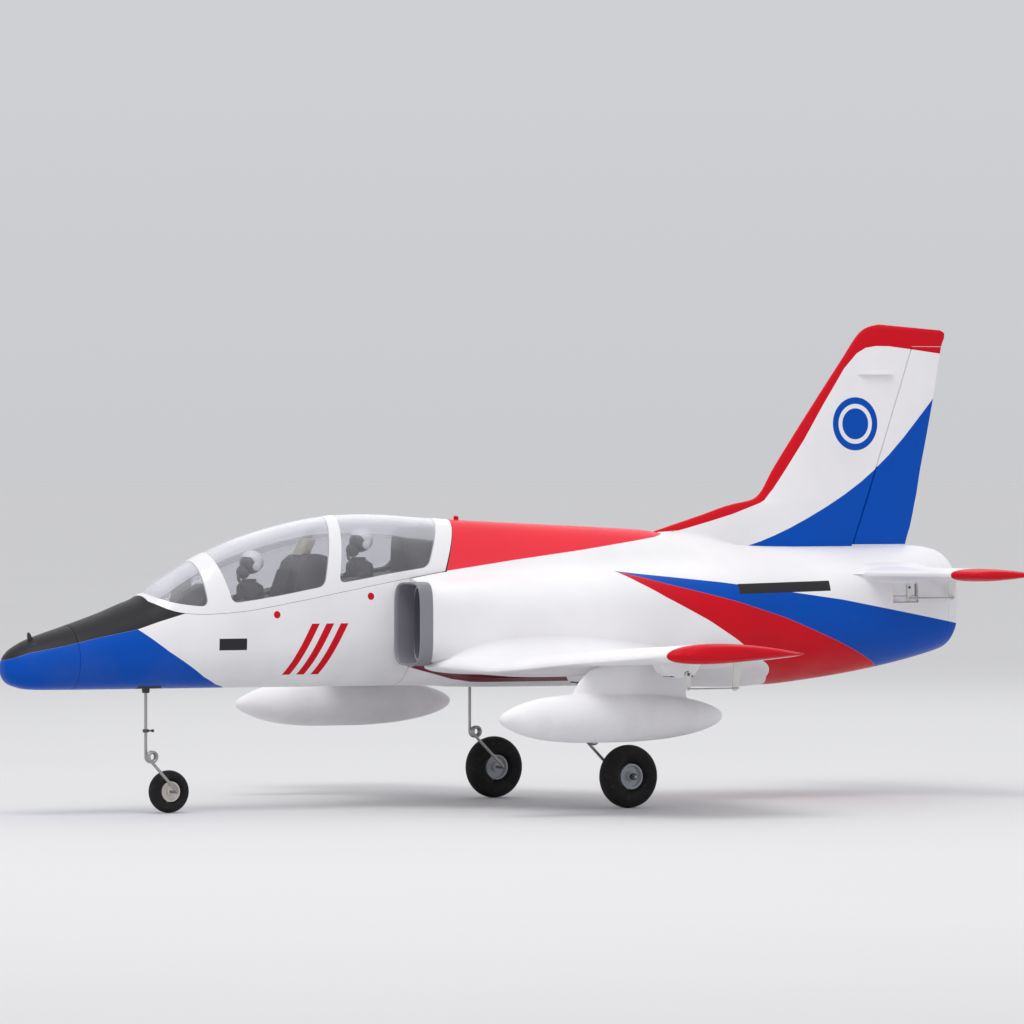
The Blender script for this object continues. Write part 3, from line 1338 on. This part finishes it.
def stab_root(side, label):
    """Soft root round the stabiliser, wide at the body and drawn in outboard."""
    lead, trail, thick = (curve(.052) for curve in STAB_CURVES)
    rows = []
    for s in np.concatenate([np.linspace(.8190, .8300, 8), np.linspace(.8340, .9080, 26)]):
        f = clamp01((s - lead) / (trail - lead))
        half = foil_depth(f) * thick + .0008 * min(1, f * 20)
        grow = min(1.0, (s - .8180) / .02)
        up = half + .0045 * grow * min(1.0, (.9100 - s) / .015 + .2)
        out = body_x(s, STAB_Z) + .0075 * grow
        row = []
        for t in np.linspace(0, 2 * math.pi, 33)[:-1]:
            c, d = math.cos(t), math.sin(t)
            reach = body_x(s, STAB_Z + up * d)
            if c < 0:
                x, rise = reach - .004, up
            else:
                x = reach - .004 + (out - reach + .004) * (abs(c) ** .8)
                rise = half + (up - half) * (1 - abs(c)) ** .9
            row.append(at(side * x, s, STAB_Z + d * rise))
        rows.append(row)
    extra(loft("stabilizer_root_" + label, rows, "white", angle=50))


for side, label in ((1, "left"), (-1, "right")):
    stab_root(side, label)

# elevator servo, its arm and pushrod
extra(box("elevator_servo_cover", (.0376, .0540), (.8606, .8892), (.1748, .1802), "white", .0004))
case = box("part", (.0375, .0540), (.8606, .8868), (.1805, .1925), "white", .0005)
lug = box("part", (.0460, .0470), (.8605, .8892), (.1835, .1900), "white", .0003)
stands_for(joined("skin_elevator_servo", [case, lug]))
arm_s, arm_z = .8800, .1880
half = [(.0012, arm_z + .0022), (.0024, arm_z + .0012), (.0018, ELEVATOR_ROD_Z - .0004),
        (.0009, ELEVATOR_ROD_Z - .0015)]
outline = [(arm_s - .0024, arm_z + .0012), (arm_s - .0012, arm_z + .0022)]
outline += [(arm_s + ds, z) for ds, z in half]
outline += [(arm_s - ds, z) for ds, z in half[:1:-1]]
arm = side_prism("part", outline, .0544, .0556, "arm")
screw = screw_head(.0550, arm_s, arm_z, radius=.0012)
stands_for(joined("skin_elevator_servo_arm", [arm, screw]))
path = [at(.0568, arm_s - .001, ELEVATOR_ROD_Z), at(.0586, arm_s + .004, ELEVATOR_ROD_Z),
        at(.0586, .9260, ELEVATOR_ROD_Z)]
stands_for(tube("skin_elevator_pushrod", rounded(path, .002), .0006, 12, "steel"))


# ---------------------------------------------------------------- drop tanks with their pylons
def smooth_verts(bm, verts):
    for _ in range(3):
        bmesh.ops.smooth_vert(bm, verts=verts, factor=.5, use_axis_x=True, use_axis_y=True,
                              use_axis_z=True)


def drop_tank():
    """Tank and pylon as one soft moulding."""
    # radius along the tank, both as shares of its full size
    profile = Curve((-1.0, .0), (-.995, .10), (-.98, .19), (-.95, .30), (-.91, .40), (-.78, .66),
                    (-.58, .88), (-.30, .99), (.10, 1.0), (.40, .93), (.65, .77), (.84, .54),
                    (.93, .36), (.97, .24), (.992, .12), (1.0, .0))
    steps = [-1, -.998, -.994, -.988, -.98, -.965, -.95, -.93, -.91]
    steps += list(np.linspace(-.88, .88, 50))
    steps += [.91, .93, .95, .965, .98, .988, .994, .998, 1]
    points = [(a * TANK_HALF, max(.00015, profile(a)) * TANK_R) for a in steps]
    tank = lathe("skin_drop_tank_left", points, at(TANK_X, TANK_S, TANK_Z), Y_AXIS, 64, "white",
                 closed=False)
    # pylon's front edge, half-width and rear edge, over height
    front = Curve((.0840, .4130), (.0935, .4158), (.0985, .4186), (.1035, .4216), (.1130, .4275),
                  (.1200, .4345), (.1260, .4430), (.1310, .4550))
    width = Curve((.0840, .0130), (.0935, .0100), (.0985, .0083), (.1035, .0074), (.1130, .0070),
                  (.1310, .0070))
    rear = Curve((.0840, .5380), (.0935, .5352), (.0985, .5340), (.1035, .5336), (.1310, .5336))
    f, _, way = foil(16)
    shape = np.where(f < .42, np.sqrt(np.clip(1 - ((.42 - f) / .42) ** 2, 0, 1)),
                     1 - .45 * ((f - .42) / .58) ** 1.6)
    rows = []
    for z in (.0860, .0900, .0935, .0960, .0985, .1010, .1035, .1080, .1130, .1185, .1240, .1310):
        s = front(z) + f * (rear(z) - front(z))
        rows.append(ring_of(TANK_X + way * (width(z) * shape), s, z))
    boolean(tank, loft("cutter", rows, "white"), "UNION")
    mod = tank.modifiers.new("r", "REMESH")
    mod.mode, mod.voxel_size = "VOXEL", .00085
    mesh = evaluated_mesh(tank)
    tank.modifiers.clear()
    tank.data = mesh
    bm = bmesh.new()
    bm.from_mesh(mesh)
    # extra smoothing where the pylon meets the tank, then overall
    smooth_verts(bm, [v for v in bm.verts if .088 < v.co.z < .112 and abs(v.co.x - TANK_X) < .024])
    smooth_verts(bm, bm.verts)
    bm.to_mesh(mesh)
    bm.free()
    mesh.materials.clear()
    mesh.materials.append(M["white"])
    mesh.polygons.foreach_set("material_index", [0] * len(mesh.polygons))
    for v in mesh.vertices:      # the pylon's head stays inside the wing skin
        limit = wing_z(min(max(v.co.x, .1), .36), v.co.y + ORIGIN_S, 1) - .0030
        if v.co.z > limit > .10:
            v.co.z = limit
    smooth(tank, 40)
    both_stand(tank, angle=40)


drop_tank()

# ---------------------------------------------------------------- canopy hatch
# Lines across the hatch: s at the seam, s at the crown. Panes lie between 1-2, 3-4 and 5-6.
PILLARS = [(.1304, .1304), (.1400, .1400), (.1790, .1780), (.2030, .1920), (.2880, .3080),
           (.3030, .3180), (.3910, .4165), (.4101, .4322)]
CROWN_S = Curve(*PILLARS)


def canopy_point(seam_s, crown_s, tau, inset):
    """Hatch surface point: tau runs 0 at the left seam, 1 at the crown, 2 at the right seam."""
    side, t = (1, tau) if tau <= 1 else (-1, 2 - tau)
    zc = MID(seam_s)
    start = math.asin(clamp01((SEAM(seam_s) - zc) / (TOP(seam_s) - zc)))
    angle = start + (math.pi / 2 - start) * t
    q = (math.sin(angle) - math.sin(start)) / (1 - math.sin(start))
    s = seam_s + (crown_s - seam_s) * q
    z = SEAM(s) + .0003 + q * (TOP(s) - SEAM(s) - .0003)
    x = upper_x(s, z) if t < 1 else 0.0
    if inset:
        zc = MID(s)
        n = Vector((x / HALF_WIDTH(s)**2, 0, (z - zc) / (TOP(s) - zc)**2)).normalized()
        if t <= 0:
            x -= inset / max(n.x, .3)
        else:
            x, z = x - n.x * inset, z - n.z * inset
    return at(side * x, s, z)


def canopy_shell(name, inset, thick, mat):
    """Closed shell over the whole hatch, inset from the true surface."""
    count, across = 74, 64
    n = across + 1
    verts = []
    for depth in (inset, inset + thick):
        for k in range(count + 1):
            s = PILLARS[0][0] + (PILLARS[7][0] - PILLARS[0][0]) * (k / count)
            verts += [canopy_point(s, CROWN_S(s), 2 * j / across, depth) for j in range(n)]
    under = (count + 1) * n
    faces = []
    for i in range(count):
        for j in range(across):
            a = i * n + j
            faces.append((a, a + 1, a + n + 1, a + n))
            faces.append((under + a, under + a + n, under + a + n + 1, under + a + 1))
    for i in range(count):
        for j in (0, across):
            a = i * n + j
            faces.append((a, a + n, under + a + n, under + a))
    for j in range(across):
        for i in (0, count):
            a = i * n + j
            faces.append((a, a + 1, under + a + 1, under + a))
    return make(name, verts, faces, mat)


def pillar_line(pillar, shift, shares):
    """Side view of a pillar at shares of its height, moved along by shift."""
    points = []
    for q in shares:
        s = pillar[0] + (pillar[1] - pillar[0]) * q
        points.append((s + shift, SEAM(s) + q * (TOP(s) - SEAM(s))))
    return points


def opening(first, shrink):
    """Side view of the opening aft of a pillar, shrunk a little, its lower corners rounded."""
    r = .0060

    def sill(s):
        return (s, GLASS(s) + shrink)

    def above(points, margin=0.0):
        return [p for p in points if p[1] > sill(p[0])[1] + margin]

    def turn(p, corner, q):
        return [tuple(bezier(p[n], corner[n], q[n], k / 6) for n in (0, 1)) for k in range(1, 6)]

    rear = pillar_line(PILLARS[first + 1], -shrink, np.linspace(0, 1, 24))
    back = above(rear, r)
    rear_corner = sill((above(rear) or rear)[0][0])
    rear_start = sill(rear_corner[0] - r)
    if first == 1:      # the windscreen's front runs down into its sill
        front = [(.1330 + shrink, .1905), (.1338 + shrink, .1876 + shrink)]
        front += [(s, z + shrink) for s, z in ((.1382, .1847), (.1420, .1831), (.1461, .1817),
                                               (.1520, .1804))]
        lower = [sill(s) for s in np.linspace(.1560, rear_start[0], 8)]
        head = (.1330 + shrink, .24)
        foot = (back[-1][0], .30)
    else:
        fore = pillar_line(PILLARS[first], shrink, np.linspace(1, 0, 24))
        front = above(fore, r)
        corner = sill((above(fore) or fore)[-1][0])
        lower = turn(front[-1], corner, sill(corner[0] + r))
        lower += [sill(s) for s in np.linspace(corner[0] + r, rear_start[0], 18)]
        head = (front[0][0] + .002, .30)
        foot = (back[-1][0] + .004, .30)
    lower += turn(rear_start, rear_corner, back[0])
    return [head] + front + lower + back + [foot]


hatch = canopy_shell("skin_canopy_frame", 0.0, .0020, "frame")
for first, name in ((1, "windscreen_pane"), (3, "front_canopy_pane"), (5, "rear_canopy_pane")):
    boolean(hatch, side_prism("cutter", opening(first, 0.0), -.06, .06, "frame"))
    pane = canopy_shell("skin_" + name, .0004, .0009, "glass")
    boolean(pane, side_prism("cutter", opening(first, .00015), -.055, .055, "glass"), "INTERSECT")
    smooth(pane, 30)
    stands_for(pane)
smooth(hatch, 30)
stands_for(hatch)


# ---------------------------------------------------------------- cockpit
def on_tray(s):
    return SEAM(s) + .0034


def padded(outline, half_width, mat, round_by):
    """Side outline given both sides of the centre plane, with rounded edges."""
    return soften(side_prism("part", outline, -half_width, half_width, mat), round_by, 3)


def side_rail(side):
    """Rail along one edge of the tray; each row is (rise, inner inset, outer inset)."""
    rings = []
    for s in np.linspace(.190, .398, 30):
        low, high = body_x(s, SEAM(s) + .003, False), body_x(s, SEAM(s) + .006, False)
        rings.append([at(side * x, s, SEAM(s) + rise) for x, rise in (
            (low - .0075, .0030), (low - .0040, .0030), (high - .0042, .0056),
            (high - .0080, .0056))])
    return loft("part", rings, "panel")


floor_s = np.linspace(.168, .404, 30)
outline = [(s, SEAM(s) + .0012) for s in floor_s] + [(s, on_tray(s)) for s in floor_s[::-1]]
tray = side_prism("part", outline, -.0270, .0270, "panel")
front_hood = padded([(.1760, on_tray(.176) - .001), (.2080, on_tray(.208) - .001),
                     (.2070, .1880), (.2040, .1945), (.2000, .1968), (.1960, .1958),
                     (.1850, .1890), (.1790, .1820)], .0225, "panel", .0012)
face = side_prism("part", [(.2068, .1790), (.2080, .1790), (.2050, .1925), (.2038, .1925)],
                  -.0180, .0180, "dark_steel")
rear_hood = padded([(.2700, on_tray(.27) - .001), (.3140, on_tray(.314) - .001),
                    (.3138, .2060), (.3100, .2150), (.3040, .2200), (.2960, .2218),
                    (.2860, .2205), (.2790, .2150), (.2735, .2000)], .0190, "panel", .0016)
stands_for(joined("skin_cockpit_tray",
                  [tray, front_hood, face, rear_hood, side_rail(1), side_rail(-1)]))

rest = padded([(.2835, .2205), (.2935, .2212), (.3000, .2345), (.2925, .2352)],
              .0085, "headrest", .0014)
back = padded([(.2615, on_tray(.2615) + GAP), (.2695, on_tray(.2695) + GAP), (.2720, .2000),
               (.2745, .2080), (.2712, .2090), (.2670, .1980)], .0115, "seat", .0016)
stands_for(joined("skin_front_seat", [back, rest]))
back = padded([(.3850, on_tray(.385) + GAP), (.4035, on_tray(.4035) + GAP), (.4110, .2200),
               (.4175, .2380), (.4160, .2430), (.3960, .2445), (.3895, .2430), (.3860, .2300)],
              .0155, "seat", .0018)
rest = padded([(.3815, .2240), (.3860, .2240), (.3875, .2390), (.3830, .2390)],
              .0080, "panel", .0012)
stands_for(joined("skin_rear_seat", [back, rest]))


def blob(centre, radii, mat, around, rows, shape=None):
    """Closed ellipsoid-like form; shape may move each point of the unit ball."""
    rings = []
    for j in range(rows + 1):
        w = -math.cos(math.pi * j / rows)
        r = math.sqrt(max(1e-4, 1 - w * w))
        ring = []
        for k in range(around):
            t = 2 * math.pi * k / around
            p = Vector((r * math.cos(t), r * math.sin(t), w))
            if shape:
                p = shape(p)
            ring.append(tuple(c + v * size for c, v, size in zip(centre, p, radii)))
        rings.append(ring)
    return loft("part", rings, mat, angle=50)


def squared(value, power):
    """A power below 1 squares up a circle's sine or cosine."""
    return math.copysign(abs(value) ** power, value)


def helmet_shape(p):
    return Vector((p.x, p.y * (1.02 if p.y > 0 else .94), p.z * (1.0 if p.z > 0 else .86)))


def mask_shape(p):
    return Vector((p.x * (1 - .18 * p.z), p.y, p.z))


def figure(node, s, z):
    """A plain crew figure with its head at (s, z)."""
    base = on_tray(s + .0095) + GAP
    shoulder = z - .0175
    torso = []
    # height as a share of the shoulder's, half-width, half-depth, shift forwards
    for f, w, d, shift in (
            (0, .0146, .0092, 0), (.25, .0150, .0096, 0), (.55, .0156, .0098, .0002),
            (.80, .0154, .0092, .0004), (.93, .0134, .0082, .0008), (1.0, .0095, .0070, .0012),
            (1.06, .0068, .0062, .0014), (1.26, .0060, .0058, .0012)):
        torso.append([at(w * squared(math.cos(t), .8), s - shift + d * squared(math.sin(t), .85),
                         base + (shoulder - base) * f)
                      for t in np.linspace(0, 2 * math.pi, 29)[:-1]])
    parts = [loft("part", torso, "suit", angle=50)]
    for side in (1, -1):
        sleeve = [at(side * .0118, s, shoulder - .0022), at(side * .0148, s - .0010,
                  shoulder - .0090), at(side * .0110, s - .0085, shoulder - .0128)]
        parts.append(tube("part", rounded(sleeve, .005), .0034, 14, "suit",
                          lambda t: 1.0 - .25 * t))
        strap = [at(side * x, s + ds, shoulder + dz) for x, ds, dz in (
            (.0050, .0052, .0004), (.0055, -.0010, .0020), (.0050, -.0072, -.0030),
            (.0030, -.0088, -.0110))]
        parts.append(tube("part", rounded(strap, .003), .0009, 8, "headrest"))
    helmet = blob(at(0, s + .0010, z + .0004), (.0102, .0108, .0106), "helmet", 32, 20,
                  helmet_shape)
    # the helmet's front is open for visor and mask
    outline = [(s - .016, z + .0062), (s - .0035, z + .0050), (s + .0008, z - .0020),
               (s - .0005, z - .0150), (s - .016, z - .0150)]
    boolean(helmet, side_prism("cutter", outline, -.02, .02, "visor"))
    visor = blob(at(0, s + .0004, z - .0002), (.0094, .0100, .0094), "visor", 28, 18)
    mask = blob(at(0, s - .0072, z - .0076), (.0058, .0060, .0062), "mask", 22, 14, mask_shape)
    path = [at(x, s - ds, z - dz) for x, ds, dz in (
        (.0008, .0122, .0098), (.0020, .0130, .0138), (.0040, .0098, .0190),
        (.0048, .0070, .0230))]
    hose = tube("part", rounded(path, .004, 8), .0014, 12, "mask",
                lambda t: 1.0 + .12 * math.sin(t * 80))
    ears = [lathe("part", [(side * .0082, .0040), (side * .0100, .0038), (side * .0106, .0028)],
                  at(0, s + .0014, z - .0030), X_AXIS, 20, "helmet", closed=False)
            for side in (1, -1)]
    stands_for(joined("skin_" + node, parts + [helmet, visor, mask, hose] + ears))


figure("front_pilot", .2390, .2140)
figure("rear_pilot", .3470, .2322)

# ---------------------------------------------------------------- bay contents
dress("battery", "wrap", .0022, 4)
dress("speed_controller", "heatshrink", .0012, 3)
dress("receiver", "black", .0010, 3)
dress("steering_servo", "black", .0005)
dress("wing_spar", "carbon")
leads = []
for x, mat in ((-.0050, "lead_red"), (.0050, "lead_black")):
    path = [at(x, .2750, .1330), at(x, .2815, .1350), at(x * .8, .2840, .1220),
            at(x * .8, .2880, .1190)]
    leads.append(tube("part", rounded(path, .004), .0014, 12, mat))
for k in range(3):
    x = -.006 + .006 * k
    path = [at(x, .3290, .1180), at(x, .3340, .1195), at(x * .6, .3370, .1190)]
    leads.append(tube("part", rounded(path, .002), .0008, 10, "lead_black"))
extra(joined("bay_leads", leads))
# strap over the battery, as an (x, z) outline
outline = [(.0174, .1127), (.0184, .1127), (.0184, .1392), (.0174, .1400), (-.0174, .1400),
           (-.0184, .1392), (-.0184, .1127), (-.0174, .1127), (-.0174, .1388), (.0174, .1388)]
rings = [[at(x, s, z) for x, z in outline] for s in (.2180, .2340)]
extra(loft("battery_strap", rings, "seat"))

# ---------------------------------------------------------------- small fittings
outline = [(.0222, TOP(.0222) - .0010), (.0278, TOP(.0278) - .0010), (.0262, .1520),
           (.0250, .1545), (.0238, .1562), (.0226, .1568), (.0217, .1560), (.0216, .1535)]
stands_for(soften(side_prism("skin_nose_probe", outline, .0040, .0054, "black"), .0003))
BEACON_S = .4432
profile = [(TOP(BEACON_S) + rise, radius) for rise, radius in (
    (-.0020, .0026), (-.0002, .0026), (.0004, .0023), (.0006, .0020), (.0012, .0023),
    (.0022, .0024), (.0030, .0019), (.0035, .0010), (.0036, .0003))]
stands_for(lathe("skin_spine_beacon", profile, at(0, BEACON_S, 0), Z_AXIS, 32, "red",
                 closed=False, angle=50))


# ---------------------------------------------------------------- undercarriage
def leg_path(x0, step, wire_s, top_z, coil_z, axle, tip_x):
    """Wire down to a two-turn coil, on to the (s, z) axle point, then along x to tip_x."""
    centre_s = wire_s + COIL_R
    end = 0.0
    q = Vector((centre_s, coil_z))
    for _ in range(12):     # finds where the coil's tangent points at the axle
        d = (Vector(axle) - q).normalized()
        end = math.atan2(-d.x, d.y) % (2 * math.pi)
        q = Vector((centre_s + COIL_R * math.cos(end), coil_z + COIL_R * math.sin(end)))
    total = end - math.pi + 2 * math.pi * 2
    path = [at(x0, wire_s, top_z), at(x0, wire_s, coil_z + .002)]
    count = int(total / (math.pi / 18))
    for k in range(count + 1):
        a = math.pi + total * k / count
        path.append(at(x0 + step * total * k / count / (2 * math.pi),
                       centre_s + COIL_R * math.cos(a), coil_z + COIL_R * math.sin(a)))
    bend = [path[-1], at(path[-1][0], *axle), at(tip_x, *axle)]
    return path[:-1] + rounded(bend, .0030, 8)


LEG_X, LEG_S = .1060, .5176
path = leg_path(LEG_X, -.0032, LEG_S, top_z=.1140, coil_z=.0600, axle=(MAIN_AXLE_S, MAIN_R),
                tip_x=TRACK_HALF + .0130)
both_stand(tube("skin_main_leg_left", path, WIRE_R, 16, "steel"))
path = leg_path(NOSE_LEG_X, .0030, NOSE_LEG_S, top_z=.1190, coil_z=.0488,
                axle=(NOSE_AXLE_S, NOSE_R), tip_x=-.0090)
stands_for(tube("skin_nose_leg", path, WIRE_R, 16, "steel"))
dress("main_gear_block_left", "black", .0006)
dress("main_gear_block_right", "black", .0006)

# nose gear block with a boss round the wire
low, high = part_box("nose_gear_block")
block = box("part", (low.x, high.x), (low.y + ORIGIN_S, high.y + ORIGIN_S), (.1078, high.z),
            "black", .0006)
profile = [(.1036, .0016), (.1036, .0028), (.1042, .0032), (.1085, .0036), (.1085, .0016)]
boss = lathe("part", profile, at(NOSE_LEG_X, NOSE_LEG_S, 0), Z_AXIS, 32, "black")
stands_for(joined("skin_nose_gear_block", [block, boss]))


def gear_pad():
    """Pad round the main gear block, spreading towards its lower face."""
    low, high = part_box("main_gear_block_left")
    x0, x1, s0, s1 = low.x, high.x, low.y + ORIGIN_S, high.y + ORIGIN_S
    pad = box("main_gear_pad_left", (x0 - .0032, x1 + .0032), (s0 - .0060, s1 + .0060),
              (low.z + .0012, .1215), "white")
    for v in pad.data.vertices:
        if v.co.z < .115:
            v.co.x += .0022 * (1 if v.co.x < (low.x + high.x) / 2 else -1)
            v.co.y += .0045 * (1 if v.co.y < (low.y + high.y) / 2 else -1)
    boolean(pad, box("cutter", (x0 - GAP, x1 + GAP), (s0 - GAP, s1 + GAP),
                     (low.z - .01, high.z + .0004), "foam"))
    both_extra(pad)


def leg_saddle(side, label):
    """Plate under the gear block with a hole for the wire and four pins."""
    saddle = box("part", (side * .0965, side * .1155), (.5090, .5262), (.1066, .1092), "black",
                 .0005)
    pins = [lathe("part", [(.1050, .0016), (.1068, .0016)], at(side * x, s, 0), Z_AXIS, 16,
                  "dark_steel", closed=False)
            for x in (.0985, .1135) for s in (.5113, .5240)]
    hole = [(.1000, WIRE_R + .0006), (.1120, WIRE_R + .0006)]
    boolean(saddle, lathe("cutter", hole, at(side * LEG_X, LEG_S, 0), Z_AXIS, 20, "black",
                          closed=False))
    extra(joined("main_leg_saddle_" + label, [saddle] + pins))


gear_pad()
for side, label in ((1, "left"), (-1, "right")):
    leg_saddle(side, label)

profile = [(.0698, .0014), (.0698, .0024), (.0702, .0027), (.0722, .0027), (.0726, .0024),
           (.0726, .0014)]
collar = lathe("part", profile, at(NOSE_LEG_X, NOSE_LEG_S, 0), Z_AXIS, 24, "dark_steel")
profile = [(.0022, .0007), (.0058, .0007), (.0058, .0013), (.0074, .0013), (.0078, .0008)]
pin = lathe("part", profile, at(NOSE_LEG_X, NOSE_LEG_S, .0712), Y_AXIS, 16, "dark_steel",
            closed=False)
extra(joined("nose_leg_collar", [collar, pin]), "nose_gear")


def wheel(tyre, hub, x, s, radius, width, hub_r, hub_mat, side):
    """Foam tyre with a round shoulder on a dished hub; side is the outer face's direction."""
    centre = at(x, s, radius)
    h = width / 2
    inner = hub_r + GAP
    middle, half = (radius + inner) / 2, (radius - inner) / 2
    limit = .94 * math.pi / 2 + math.pi / 2 - .2
    tread = []
    for t in np.linspace(-limit, limit, 40):
        c, d = math.cos(t), math.sin(t)
        r = (abs(c) ** 2.15 + abs(d) ** 2.15) ** (-1 / 2.15)
        tread.append((h * .92 * r * d, max(middle + half * r * c, inner)))
    tread[0], tread[-1] = (tread[0][0], inner), (tread[-1][0], inner)
    stands_for(lathe(tyre, tread, centre, X_AXIS, 96, "tyre", angle=50))
    face, web = h * .62, h * .30
    # one face of the hub from the bore outwards: distance from the middle, radius
    rows = [(face, .0015), (face, hub_r * .36), (web, hub_r * .42), (web, hub_r * .80),
            (face, hub_r * .87), (face * 1.04, hub_r * .93), (face, hub_r)]
    profile = [(-side * a, r) for a, r in rows] + [(side * a, r) for a, r in rows[::-1]]
    stands_for(lathe(hub, profile, centre, X_AXIS, 72, hub_mat, angle=35))


for side, label in ((1, "left"), (-1, "right")):
    wheel("skin_main_tyre_" + label, "skin_main_hub_" + label, side * TRACK_HALF, MAIN_AXLE_S,
          MAIN_R, MAIN_W, .0110, "hub", side)
wheel("skin_nose_tyre", "skin_nose_hub", 0, NOSE_AXLE_S, NOSE_R, NOSE_W, .0088, "nose_hub", 1)
for name, x0, x1, s, z, body in (
        ("main_collar_left", .1250, .1288, MAIN_AXLE_S, MAIN_R, "airframe"),
        ("main_collar_right", -.1250, -.1288, MAIN_AXLE_S, MAIN_R, "airframe"),
        ("nose_collar", -.0050, -.0082, NOSE_AXLE_S, NOSE_R, "nose_gear")):
    profile = [(x0, .0014), (x0, .0030), (x1 + (x0 - x1) * .12, .0030), (x1, .0027), (x1, .0014)]
    collar = lathe(name, profile, at(0, s, z), X_AXIS, 28, "dark_steel", angle=35)
    extra(collar, body)

# ---------------------------------------------------------------- floor
scene = bpy.context.scene
scene.view_settings.view_transform = "Standard"
scene.view_settings.look = "None"
g = Graph("pale_floor")
cloud = g.noise(scale=2.2, detail=3)
g.bump(g.noise(scale=140, detail=3), distance=.0006, strength=.3)
g.finish(g.mix((cloud - .4).clamp() * .5, (.66, .66, .67), (.62, .62, .63)), rough=.80)
FLOOR_R, FLOOR_SIDES = 60, 64
turns = [2 * math.pi * k / FLOOR_SIDES for k in range(FLOOR_SIDES)]
mesh = bpy.data.meshes.new("floor")
mesh.from_pydata([(FLOOR_R * math.cos(t), FLOOR_R * math.sin(t), 0) for t in turns], [],
                 [tuple(range(FLOOR_SIDES))])
ground = put_in_scene("floor", mesh)
mesh.materials.append(g.mat)

# ---------------------------------------------------------------- sky, shaded by height
world = bpy.data.worlds.new("soft_sky")
scene.world = world
world.use_nodes = True
tree = world.node_tree
background = tree.nodes["Background"]
coords = tree.nodes.new("ShaderNodeTexCoord")
split = tree.nodes.new("ShaderNodeSeparateXYZ")
ramp = tree.nodes.new("ShaderNodeValToRGB")
tree.links.new(coords.outputs["Generated"], split.inputs[0])
tree.links.new(split.outputs[2], ramp.inputs[0])
tree.links.new(ramp.outputs[0], background.inputs[0])
stops = list(ramp.color_ramp.elements) + [ramp.color_ramp.elements.new(.2)]
# position and grey level, in the order they are written
for stop, (position, shade) in zip(stops, ((0.0, .590), (.60, .77), (.09, .65))):
    stop.position = position
    stop.color = (shade, shade * 1.01, shade * 1.05, 1)
background.inputs[1].default_value = 1.0


# ---------------------------------------------------------------- lamps and camera
def aim(obj, direction):
    obj.rotation_euler = Vector(direction).to_track_quat("-Z", "Y").to_euler()


def lamp(name, place, target, size, power, colour):
    data = bpy.data.lights.new(name, "AREA")
    data.shape, data.size, data.energy, data.color = "DISK", size, power, colour
    obj = put_in_scene(name, data)
    obj.location = place
    aim(obj, Vector(target) - Vector(place))


lamp("key", place=(1.2, -1.0, 3.0), target=(0, 0, .1), size=2.0, power=38, colour=(1, .99, .98))
lamp("fill", place=(-2.0, 1.6, 2.2), target=(0, 0, .15), size=2.6, power=12,
     colour=(.96, .97, 1))

VIEW_ANGLE = math.radians(30)       # how far the camera stands ahead of square-on to the left
VIEW_DISTANCE = 7.0
AIM_Y, EYE_Z = .0232, .3159
lens = bpy.data.cameras.new("camera")
lens.lens, lens.sensor_width = 279.56, 36
lens.shift_y = -.0654296875
lens.clip_end = 200
camera = put_in_scene("camera", lens)
camera.location = (math.cos(VIEW_ANGLE) * VIEW_DISTANCE,
                   AIM_Y - VIEW_DISTANCE * math.sin(VIEW_ANGLE), EYE_Z)
aim(camera, (-math.cos(VIEW_ANGLE), math.sin(VIEW_ANGLE), 0))
scene.camera = camera
